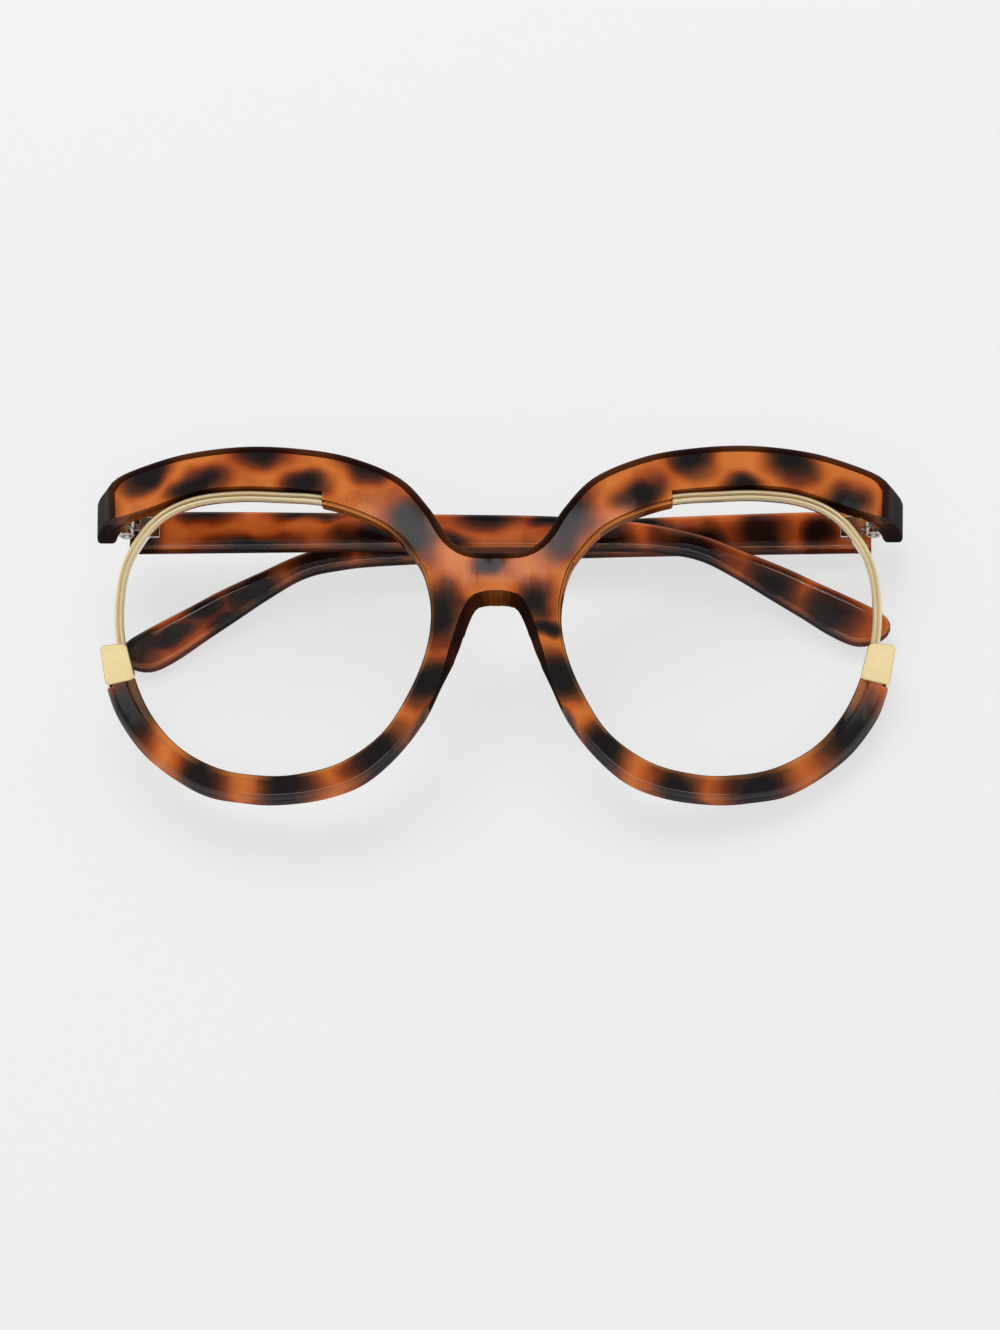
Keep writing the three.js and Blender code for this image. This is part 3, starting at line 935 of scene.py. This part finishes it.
def make_screw(head, height, shank, length):
    """A screw along Z with its head down and its middle at the origin."""
    clear_selection()
    bpy.ops.mesh.primitive_cylinder_add(
        vertices=36, radius=head, depth=height, location=(0, 0, (height - length) / 2)
    )
    screw = bpy.context.object
    bpy.ops.object.transform_apply()
    with editing(screw, "FACE", lambda face: face.normal.z > 0.9):
        bpy.ops.mesh.inset(thickness=head - shank)
        push(0, 0, length - height)
    bevel_sharp(screw, 0.12, 3)

    def disc(face):
        return face.normal.z < -0.99 and len(face.vertices) > 9

    with editing(screw, "FACE", disc):
        bpy.ops.mesh.inset(thickness=0.12)
    for cut in (SLOT_HALF, -SLOT_HALF):
        with editing(screw, "FACE", disc):
            bpy.ops.mesh.bisect(plane_co=(0, cut, 0), plane_no=(0, 1, 0))

    def strip(face):
        return face.normal.z < -0.99 and face.center.xy.length < 0.05

    with editing(screw, "FACE", strip):
        push(0, 0, SLOT_DEPTH)
    return screw


print("Slot:", 2 * SLOT_HALF, "mm wide,", SLOT_DEPTH, "mm deep")

# %% Screws
# Radius and height of the head, radius of the shank, length over all
SCREW_SIZES = {
    "hinge_screw": (1.1, 0.75, 0.55, 5.05),
    "corner_block_screw": (0.95, 0.7, 0.45, 5.8),
    "wire_anchor_screw": (1.15, 0.7, 0.5, 4.2),
}


def place_of(node):
    """The front's frame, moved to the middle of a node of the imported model."""
    low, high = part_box(node)
    middle = (Vector(low) + Vector(high)) / 2
    return Matrix.Translation(middle) @ Matrix.Translation(-FRONT.translation) @ FRONT


on_axis = Matrix.Translation((0, 0.4, 0)) @ Matrix.Rotation(math.pi / 2, 4, "X")
screws = {}
for kind, sizes in SCREW_SIZES.items():
    model = make_screw(*sizes)
    for side in SIDES:
        node = side + "_" + kind
        copy_of(model)
        screws[node] = named(side + "_small_" + kind)
        place = TEMPLES[side] @ on_axis if kind == "hinge_screw" else place_of(node)
        finish_mesh(screws[node], place, 35)
    bpy.data.objects.remove(model)

# %% [markdown]
# Tortoiseshell sheet is amber with soft dark clouds right through it. Noise would scatter them by
# chance. Here each cloud is an ellipse given one by one, as a maker would choose where to cut the
# sheet: its middle, its two radii and its turn, in the piece's own millimetres.

# %% Clouds in the front and the temples
FRONT_CLOUDS = [
    (-63.4, 32, 3.4, 1.7, 30), (-53.9, 29.9, 3.7, 1.7, 22), (-42.4, 35.9, 3.1, 2.3, 0),
    (-34, 29, 2.7, 1.6, 0), (-23.6, 32.4, 3.2, 2, -25), (-15.2, 20.5, 2.7, 3.9, 20),
    (-1.2, 14.4, 1.9, 1.9, 0), (-9.5, 4.5, 2.4, 4, 0), (7, 6.9, 2.3, 2.6, 0), (9.1, 2.2, 2.4, 1, 0),
    (12.5, 21.4, 2.9, 4.3, -25), (26.1, 26.9, 3.4, 1.8, 22), (34.9, 33.8, 2.8, 2.3, 0),
    (44.2, 29, 2.4, 1.5, 0), (52.7, 33.9, 3.3, 2.2, -25), (62.7, 26.3, 2.8, 2.2, 0),
    (-66.1, -11.9, 3.6, 4.4, 25), (-52.3, -24.2, 3.2, 3.8, 0), (-36.8, -26, 3.6, 4.2, 0),
    (-20.5, -20.9, 4, 3.8, 40), (-11.9, -7.7, 3.8, 3, 0), (11.2, -6.7, 3.9, 3, 0),
    (19.3, -19.7, 3.3, 3.4, 0), (31.9, -26.9, 3.1, 4, 0), (46.1, -26.6, 4.2, 4, 0),
    (62.9, -15.4, 3.6, 5.6, -25), (-73, 27, 2.4, 9, 0), (73, 27, 2.4, 9, 0),
    (-11.9, -15.6, 1.3, 4.4, -35), (11.7, -15.2, 1.3, 4.4, 35),
]
TEMPLE_CLOUDS = {
    "left": [
        (23, -3.4, 6, 1.6, 0), (14, 3.4, 4, 1.5, 0), (45, -1.6, 6, 2, 5), (33, 3.2, 5, 1.2, 0),
        (66, 2, 4.5, 1.8, 0), (58, -3, 3, 1.5, 0), (86, -2.5, 5, 2.6, -10), (78, 1.2, 3, 1.2, 0),
        (103, -5, 5, 2.6, -28), (118, -12, 3.6, 3, -28), (127.6, -18.5, 3.8, 3.2, -28),
        (3, 0, 2, 3, 0),
    ],
    "right": [
        (10, -0.6, 2.2, 2.2, 0), (31, -2, 3, 2.4, 0), (20.5, -0.4, 3.6, 2.4, 0),
        (42, 1, 4, 2.2, 10),
        (55, -2, 4, 2, 0), (68, 1, 4, 2, 0), (79, -2, 4, 2, 0), (88, -2.6, 3.6, 2.4, -10),
        (101, -4.6, 3.8, 2.6, -25), (113.5, -11, 4.2, 2.8, -28), (122, -14, 3, 1.8, -28),
        (134.5, -21.5, 3, 3.2, -28), (128, -19.4, 4, 1.5, -30), (117.5, -16, 3, 1.1, -32),
    ],
}
temple_count = sum(map(len, TEMPLE_CLOUDS.values()))
print("Clouds:", len(FRONT_CLOUDS), "in the front,", temple_count, "in the temples")

# %% [markdown]
# A material is a tree of small nodes with wires between them. In Blender's window they are dragged
# about by hand. In code the same few lines come again and again, so helpers take them up. Colours
# are written as they look on a screen and turned into the linear light that a renderer counts in.


# %% Small helpers for node trees
def add(tree, kind, values=None, **settings):
    node = tree.nodes.new(kind)
    for name, value in settings.items():
        setattr(node, name, value)
    for socket, value in (values or {}).items():
        node.inputs[socket].default_value = value
    return node


def join_up(tree, wires_between):
    """Wires nodes, each wire given as a node, its output, the next node and its input."""
    for source, out, target, into in wires_between:
        tree.links.new(source.outputs[out], target.inputs[into])


def linear(color):
    parts = [int(color[i : i + 2], 16) / 255 for i in (1, 3, 5)]
    return (*[p / 12.92 if p < 0.04045 else ((p + 0.055) / 1.055) ** 2.4 for p in parts], 1)


def ramp_colors(node, stops):
    """Sets a ramp's stops from places and sRGB hex colours."""
    ramp = node.color_ramp
    while len(ramp.elements) < len(stops):
        ramp.elements.new(0.5)
    for element, (place, color) in zip(ramp.elements, stops):
        element.position = place
        element.color = linear(color)


def new_material(name):
    material = bpy.data.materials.new(name)
    material.use_nodes = True
    return material, material.node_tree, material.node_tree.nodes["Principled BSDF"]


print("Mid grey in linear light:", round(linear("#808080")[0], 3))

# %% [markdown]
# The colours of the sheet are the same on all pieces, so they go into one node group. It takes the
# distance to the nearest cloud, the position, the painted light mark, the wall mark and a share of
# redness, and gives a colour, a roughness and the weight of a clear coat. First come the tones,
# from amber far from the clouds to nearly black inside them, with noise that makes the clouds
# ragged.

# %% Tones of the tortoiseshell
shell = bpy.data.node_groups.new("tortoiseshell_colours", "ShaderNodeTree")
for way, socket, kind in (
    ("INPUT", "Distance", "Float"), ("INPUT", "Position", "Vector"), ("INPUT", "Painted Light", "Float"),
    ("INPUT", "Wall", "Float"), ("INPUT", "Redness", "Float"), ("OUTPUT", "Color", "Color"),
    ("OUTPUT", "Roughness", "Float"), ("OUTPUT", "Coat", "Float"),
):
    shell.interface.new_socket(socket, in_out=way, socket_type="NodeSocket" + kind)
given = add(shell, "NodeGroupInput")
ragged = add(shell, "ShaderNodeTexNoise", {"Scale": 0.24, "Detail": 0.5, "Roughness": 0.4})
swing = add(shell, "ShaderNodeMath", {1: 0.7, 2: -0.35}, operation="MULTIPLY_ADD")
field = add(shell, "ShaderNodeMath", operation="ADD")
depth = add(shell, "ShaderNodeMapRange", {"From Min": 2.5, "From Max": 0.5})
tones = add(shell, "ShaderNodeValToRGB")
ramp_colors(tones, [
    (0.05, "#CF6E2C"), (0.28, "#B8551A"), (0.5, "#74300F"), (0.72, "#32120A"), (0.92, "#0F0606"),
])
join_up(shell, [
    (given, "Position", ragged, "Vector"), (ragged, "Fac", swing, 0),
    (given, "Distance", field, 0), (swing, 0, field, 1),
    (field, 0, depth, "Value"), (depth, "Result", tones, "Fac"),
])
print("Tones:", len(tones.color_ramp.elements), "from amber to black")

# %% [markdown]
# Between the clouds the amber drifts towards honey and towards umber, and where an edge has its
# painted glow it is lighter still, a painted highlight. Both drifts come from one slow noise, and
# both fade out inside a cloud, as the painted glow does.

# %% Drifts of honey and umber, and the painted glow
haze = add(shell, "ShaderNodeTexNoise", {"Scale": 0.16, "Detail": 2, "Roughness": 0.5})
honey = add(shell, "ShaderNodeMapRange", {"From Min": 0.42, "From Max": 0.7, "To Max": 0.22})
umber = add(shell, "ShaderNodeMapRange", {"From Min": 0.5, "From Max": 0.3, "To Max": 0.4})
# The painted glow: a mark above 0 lightens the amber towards pale orange, as a painted highlight.
glow = add(shell, "ShaderNodeMath", {1: 0.85}, operation="MULTIPLY")
most = add(shell, "ShaderNodeMath", operation="MAXIMUM")
clear = add(shell, "ShaderNodeMath", {0: 1}, operation="SUBTRACT")
honey_or_painted_glow = add(shell, "ShaderNodeMath", operation="MULTIPLY")
thin = add(shell, "ShaderNodeMath", operation="MULTIPLY")
brown = add(shell, "ShaderNodeMix", {"B": linear("#7A3210")}, data_type="RGBA")
light = add(shell, "ShaderNodeMix", {"B": linear("#F09A48")}, data_type="RGBA")
join_up(shell, [
    (given, "Position", haze, "Vector"), (haze, "Fac", honey, "Value"),
    (haze, "Fac", umber, "Value"), (given, "Painted Light", glow, 0),
    (honey, "Result", most, 0), (glow, 0, most, 1), (depth, "Result", clear, 1),
    (most, 0, honey_or_painted_glow, 0), (clear, 0, honey_or_painted_glow, 1), (umber, "Result", thin, 0), (clear, 0, thin, 1),
    (thin, 0, brown, "Factor"), (tones, "Color", brown, "A"),
    (honey_or_painted_glow, 0, light, "Factor"), (brown, "Result", light, "A"),
])
print("Tortoiseshell group so far:", len(shell.nodes), "nodes")

# %% [markdown]
# Last come the redder tint of the temples, the painted shade on the dark edges and the polish. The
# polish is a little uneven, as after years in a pocket, and the clear coat is weaker on side walls.

# %% Painted shade on the edges, and polish
result = add(shell, "NodeGroupOutput")
red = add(shell, "ShaderNodeMix", {"B": linear("#D08A84")}, data_type="RGBA", blend_type="MULTIPLY")
# Painted shade: a mark below 0 darkens the colour towards near-black brown.
painted_shade = add(shell, "ShaderNodeMapRange", {"From Min": 0, "From Max": -1, "To Max": 0.92})
dark = add(shell, "ShaderNodeMix", {"B": linear("#1A0A06")}, data_type="RGBA")
polish = add(shell, "ShaderNodeTexNoise", {"Scale": 1.4, "Detail": 2})
gloss = add(shell, "ShaderNodeMapRange", {"To Min": 0.3, "To Max": 0.4})
buffed = add(shell, "ShaderNodeMapRange", {"To Min": 1, "To Max": 0.12}, clamp=False)
join_up(shell, [
    (given, "Redness", red, "Factor"), (light, "Result", red, "A"),
    (given, "Painted Light", painted_shade, "Value"), (painted_shade, "Result", dark, "Factor"), (red, "Result", dark, "A"),
    (dark, "Result", result, "Color"), (given, "Position", polish, "Vector"),
    (polish, "Fac", gloss, "Value"), (gloss, "Result", result, "Roughness"),
    (given, "Wall", buffed, "Value"), (buffed, "Result", result, "Coat"),
])
print("Tortoiseshell group:", len(shell.nodes), "nodes")

# %% [markdown]
# A painted image would need every piece to be unwrapped. Nodes need only the position, and their
# clouds run round all edges. A Mapping node turns a position into "how far out am I in this cloud",
# and the smallest of those distances goes to the group. The same tool draws a faint ring in the
# brow, where the head of a screw shows through the plastic.


# %% Distance to the clouds
def ellipse(tree, x, y, across, along, turn=0):
    """Two nodes that say how far out a position is in an ellipse, which is 1 on its edge."""
    inside = add(tree, "ShaderNodeMapping", {
        "Location": (x, y, 0), "Rotation": (0, 0, math.radians(turn)),
        "Scale": (across, along, 1000),
    }, vector_type="TEXTURE")
    out = add(tree, "ShaderNodeVectorMath", operation="LENGTH")
    join_up(tree, [(inside, "Vector", out, 0)])
    return inside, out


def cloud_distance(tree, place, clouds):
    """The smallest distance, with clouds that flow together where they meet."""
    closest = None
    for cloud in clouds:
        inside, out = ellipse(tree, *cloud)
        join_up(tree, [(place, 0, inside, "Vector")])
        if closest is None:
            closest = out
            continue
        least = add(tree, "ShaderNodeMath", {2: 0.25}, operation="SMOOTH_MIN")
        join_up(tree, [(closest, "Value", least, 0), (out, "Value", least, 1)])
        closest = least
    return closest


def screw_ring(tree, place, colours, middle):
    inside, out = ellipse(tree, *middle, 1.6, 1.6)
    ring = add(tree, "ShaderNodeValToRGB")
    ramp_colors(ring, [
        (0, "#A0A0A0"), (0.4, "#707070"), (0.62, "#303030"), (0.76, "#B0B0B0"), (0.9, "#606060"),
        (1, "#000000"),
    ])
    seen = add(tree, "ShaderNodeMix", {"B": linear("#8E3A2C")}, data_type="RGBA")
    join_up(tree, [
        (place, "Vector", inside, "Vector"), (out, "Value", ring, "Fac"),
        (ring, "Color", seen, "Factor"), (colours, "Color", seen, "A"),
    ])
    return seen


print("Nodes for the clouds of the front:", 3 * len(FRONT_CLOUDS) - 1)

# %% [markdown]
# Each piece lies somewhere else in the model, so its material first undoes the piece's place and
# works in that piece's own millimetres. Slow noise then bends the positions a little, because no
# cloud is a true ellipse. The mirror shine is left to a clear coat, so that it can be weakened on
# walls without changing the colour.

# %% Tortoiseshell on each piece
SCREW_SEEN = (-25.5, 26.1)
TEMPLE_REDNESS = 0.45


def tortoiseshell(name, place, clouds, redness, screw=None):
    material, tree, shader = new_material(name)
    where = add(tree, "ShaderNodeTexCoord")
    own = add(tree, "ShaderNodeMapping", {
        "Location": place.translation, "Rotation": place.to_euler(), "Scale": (MM, MM, MM),
    }, vector_type="TEXTURE")
    drift = add(tree, "ShaderNodeTexNoise", {"Scale": 0.22, "Detail": 0})
    centred = add(tree, "ShaderNodeVectorMath", {1: (0.5, 0.5, 0.5)}, operation="SUBTRACT")
    warped = add(tree, "ShaderNodeVectorMath", {1: (2.2, 2.2, 0)}, operation="MULTIPLY_ADD")
    # The edge attribute is the painted light mark: painted glow above 0, painted shade below 0.
    edge = add(tree, "ShaderNodeAttribute", attribute_name="edge")
    wall = add(tree, "ShaderNodeAttribute", attribute_name="wall")
    colours = add(tree, "ShaderNodeGroup", {"Redness": redness}, node_tree=shell)
    join_up(tree, [
        (where, "Object", own, "Vector"), (own, "Vector", drift, "Vector"),
        (drift, "Color", centred, 0), (centred, 0, warped, 0), (own, "Vector", warped, 2),
        (cloud_distance(tree, warped, clouds), "Value", colours, "Distance"),
        (own, "Vector", colours, "Position"),
        (edge, "Fac", colours, "Painted Light"), (wall, "Fac", colours, "Wall"),
        (colours, "Color", shader, "Base Color"), (colours, "Roughness", shader, "Roughness"),
        (colours, "Coat", shader, "Coat Weight"),
    ])
    if screw:
        seen = screw_ring(tree, own, colours, screw)
        join_up(tree, [(seen, "Result", shader, "Base Color")])
    shader.inputs["Specular IOR Level"].default_value = 0
    shader.inputs["Coat IOR"].default_value = 1.5
    shader.inputs["Coat Roughness"].default_value = 0.05
    return material


finish = tortoiseshell("front_tortoiseshell", FRONT, FRONT_CLOUDS, 0, SCREW_SEEN)
front.data.materials.append(finish)
for side in SIDES:
    way = -SIDES[side]
    clouds = [(way * u, v, a, b, way * turn) for u, v, a, b, turn in TEMPLE_CLOUDS[side]]
    name = side + "_temple_tortoiseshell"
    finish = tortoiseshell(name, TEMPLES[side], clouds, TEMPLE_REDNESS)
    temples[side].data.materials.append(finish)
print("Tortoiseshell on", front.name, "and", [t.name for t in temples.values()])

# %% [markdown]
# The gold is a pale plating, satin on the wires and polished on the blocks, and the hinges are
# plain steel. A metal's look is mostly its reflections, so its colour only drifts a little, and
# the noise goes into the roughness, where handling has left it uneven.


# %% Metals
def metal(name, color, worn, smoothest, roughest, metallic=1):
    material, tree, shader = new_material(name)
    where = add(tree, "ShaderNodeTexCoord")
    drift = add(tree, "ShaderNodeTexNoise", {"Scale": 260, "Detail": 3})
    tone = add(tree, "ShaderNodeMix", {"A": linear(color), "B": linear(worn)}, data_type="RGBA")
    handled = add(tree, "ShaderNodeTexNoise", {"Scale": 900, "Detail": 4})
    gloss = add(tree, "ShaderNodeMapRange", {"To Min": smoothest, "To Max": roughest})
    join_up(tree, [
        (where, "Object", drift, "Vector"), (where, "Object", handled, "Vector"),
        (drift, "Fac", tone, "Factor"), (tone, "Result", shader, "Base Color"),
        (handled, "Fac", gloss, "Value"), (gloss, "Result", shader, "Roughness"),
    ])
    shader.inputs["Metallic"].default_value = metallic
    return material


wire_gold = metal("polished_gold", "#F8E6BE", "#F0DAA8", 0.28, 0.36, 0.6)
block_gold = metal("bright_gold", "#F4E0AE", "#EED69E", 0.07, 0.12)
steel = metal("hinge_steel", "#D2D0CA", "#BEBBB4", 0.16, 0.24)
for side in SIDES:
    wires[side].data.materials.append(wire_gold)
    blocks[side].data.materials.append(block_gold)
small_pieces = [*front_leaves.values(), *temple_leaves.values(), *screws.values()]
for piece in small_pieces:
    piece.data.materials.clear()
    piece.data.materials.append(steel)
print("Steel on", len(small_pieces), "small pieces")

# %% [markdown]
# The lenses are clear plastic. Glass in a renderer casts a dark shadow unless light may pass, so
# shadow rays and diffuse rays see a Transparent shader instead. The lenses are coated against
# reflections, so the index of refraction is set low, which leaves hardly any mirror image.

# %% Lens material
lens_finish, tree, shader = new_material("clear_lens")
where = add(tree, "ShaderNodeTexCoord")
smear = add(tree, "ShaderNodeTexNoise", {"Scale": 40, "Detail": 2})
gloss = add(tree, "ShaderNodeMapRange", {"To Min": 0.0, "To Max": 0.02})
whites = {"A": linear("#FFFFFF"), "B": linear("#FBFDFC")}
tint = add(tree, "ShaderNodeMix", whites, data_type="RGBA")
rays = add(tree, "ShaderNodeLightPath")
light_ray = add(tree, "ShaderNodeMath", operation="MAXIMUM")
passing = add(tree, "ShaderNodeBsdfTransparent")
either = add(tree, "ShaderNodeMixShader")
join_up(tree, [
    (where, "Object", smear, "Vector"), (smear, "Fac", gloss, "Value"),
    (smear, "Fac", tint, "Factor"), (tint, "Result", shader, "Base Color"),
    (gloss, "Result", shader, "Roughness"),
    (rays, "Is Shadow Ray", light_ray, 0), (rays, "Is Diffuse Ray", light_ray, 1),
    (light_ray, 0, either, "Fac"), (shader, "BSDF", either, 1), (passing, "BSDF", either, 2),
    (either, "Shader", tree.nodes["Material Output"], "Surface"),
])
shader.inputs["Transmission Weight"].default_value = 1
shader.inputs["IOR"].default_value = 1.12
for lens in lenses.values():
    lens.data.materials.append(lens_finish)
print("Lens finish:", lens_finish.name)

# %% [markdown]
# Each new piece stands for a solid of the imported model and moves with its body: the temples turn
# on their hinges, and everything else stays with the front.

# %% What each piece stands for
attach(front, "front")
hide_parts("front_frame")
for side in SIDES:
    for piece, node, slot in (
        (lenses[side], side + "_lens", "lens"),
        (wires[side], side + "_rim_wire", "gold"),
        (blocks[side], side + "_corner_block", "gold"),
    ):
        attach(piece, "front")
        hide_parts(node)
    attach(temples[side], side + "_temple")
    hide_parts(side + "_temple")
    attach(front_leaves[side], "front")
    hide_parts(side + "_front_hinge_leaf")
    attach(temple_leaves[side], side + "_temple")
    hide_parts(side + "_temple_hinge_leaf")
for node, piece in screws.items():
    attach(piece, "front")
    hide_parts(node)

# %% [markdown]
# The glasses lie on a pale table. Lamps strong enough to make it nearly white would wash out the
# glasses. So what the camera sees of it, directly, mirrored or through a lens, is mostly a plain
# pale emission, and wholly so further out. The rest is matt and takes the shadow.

# %% Table
clear_selection()
bpy.ops.mesh.primitive_plane_add(size=6)
table = named("table_top")
table_finish, tree, shader = new_material("pale_table")
where = add(tree, "ShaderNodeTexCoord")
cloud = add(tree, "ShaderNodeTexNoise", {"Scale": 3, "Detail": 1})
greys = {"A": linear("#F2F2F2"), "B": linear("#F0F0F0")}
tone = add(tree, "ShaderNodeMix", greys, data_type="RGBA")
rays = add(tree, "ShaderNodeLightPath")
seen = add(tree, "ShaderNodeMath", operation="MAXIMUM")
seen_too = add(tree, "ShaderNodeMath", operation="MAXIMUM")
away = add(tree, "ShaderNodeVectorMath", operation="LENGTH")
reach = {"From Min": 0.4, "From Max": 1.6, "To Min": 0.76, "To Max": 1}
fade = add(tree, "ShaderNodeMapRange", reach)
part = add(tree, "ShaderNodeMath", operation="MULTIPLY")
plain = add(tree, "ShaderNodeEmission", {"Color": linear("#EFEFEF"), "Strength": 1})
either = add(tree, "ShaderNodeMixShader")
join_up(tree, [
    (where, "Object", cloud, "Vector"), (cloud, "Fac", tone, "Factor"),
    (tone, "Result", shader, "Base Color"), (rays, "Is Camera Ray", seen, 0),
    (rays, "Is Glossy Ray", seen, 1), (seen, 0, seen_too, 0),
    (rays, "Is Transmission Ray", seen_too, 1), (where, "Object", away, 0),
    (away, "Value", fade, "Value"), (fade, "Result", part, 1), (seen_too, 0, part, 0),
    (part, 0, either, "Fac"), (shader, "BSDF", either, 1), (plain, "Emission", either, 2),
    (either, "Shader", tree.nodes["Material Output"], "Surface"),
])
shader.inputs["Roughness"].default_value = 0.9
shader.inputs["Specular IOR Level"].default_value = 0.1
table.data.materials.append(table_finish)
print("Table:", [round(d, 1) for d in table.dimensions], "m")

# %% [markdown]
# The world stands for the walls and the ceiling of a room. One even colour would do for light, but
# the glossy front faces up, would mirror a bright ceiling and lose its colour. So the world is pale
# round the horizon and dim overhead.

# %% World
world = bpy.context.scene.world or bpy.data.worlds.new("studio")
bpy.context.scene.world = world
world.use_nodes = True
sky = world.node_tree
sky.nodes.clear()
where = add(sky, "ShaderNodeTexCoord")
split = add(sky, "ShaderNodeSeparateXYZ")
band = add(sky, "ShaderNodeValToRGB")
for stop, place, grey in zip(band.color_ramp.elements, (0.25, 0.75), (0.86, 0.27)):
    stop.position = place
    stop.color = (grey, grey, grey, 1)
back = add(sky, "ShaderNodeBackground")
out = add(sky, "ShaderNodeOutputWorld")
join_up(sky, [
    (where, "Generated", split, "Vector"), (split, "Z", band, "Fac"),
    (band, "Color", back, "Color"), (back, "Background", out, "Surface"),
])
print("World:", len(sky.nodes), "nodes")

# %% [markdown]
# Soft light comes from large lamps, as from a window. The disc at the upper left throws the soft
# shadow to the lower right. It is hidden from mirror rays, because its image would lie over the
# whole brow. The strip and the two panels are weak, and are there for the small bright reflections
# that they leave on the front. A wide lamp in front fills the dark side.


# %% Lamps
def softbox(name, place, shape, width, height, power):
    """A lamp that faces straight down."""
    clear_selection()
    bpy.ops.object.light_add(type="AREA", location=place)
    lamp = named(name)
    lamp.data.shape = shape
    lamp.data.size = width
    if shape == "RECTANGLE":
        lamp.data.size_y = height
    lamp.data.energy = power
    return lamp


back_light = softbox("back_light", (-0.3, 1.21, 1.5), "DISK", 1.7, 1.7, 30)
back_light.visible_glossy = False
softbox("bridge_strip", (0.043, -0.052, 1.5), "RECTANGLE", 0.625, 0.036, 0.12)
softbox("left_panel", (-0.93, -0.048, 1.5), "RECTANGLE", 0.28, 0.125, 0.086)
softbox("right_panel", (1.04, -0.048, 1.5), "RECTANGLE", 0.3, 0.125, 0.094)
softbox("front_fill", (0, -0.95, 1.3), "RECTANGLE", 1.4, 0.45, 4.2)

# %% [markdown]
# The camera stands in front of the glasses, high above them, and looks down through a long lens.
# It could be aimed by a constraint, but its place and turn are known as numbers, so they are
# simply set. The Standard view shows colours as they are written.

# %% Camera
clear_selection()
bpy.ops.object.camera_add(location=(0.0605, -0.40347, 0.68711))
camera = bpy.context.object
camera.name = "photo_camera"
camera.rotation_euler = [math.radians(a) for a in (30.476, 4.393, 1.112)]
camera.data.sensor_fit = "VERTICAL"
camera.data.sensor_height = 36
camera.data.lens = 119.1
camera.data.dof.use_dof = False
bpy.context.scene.camera = camera
bpy.context.scene.view_settings.view_transform = "Standard"
print("Camera:", camera.data.lens, "mm lens at, m:", [round(v, 3) for v in camera.location])
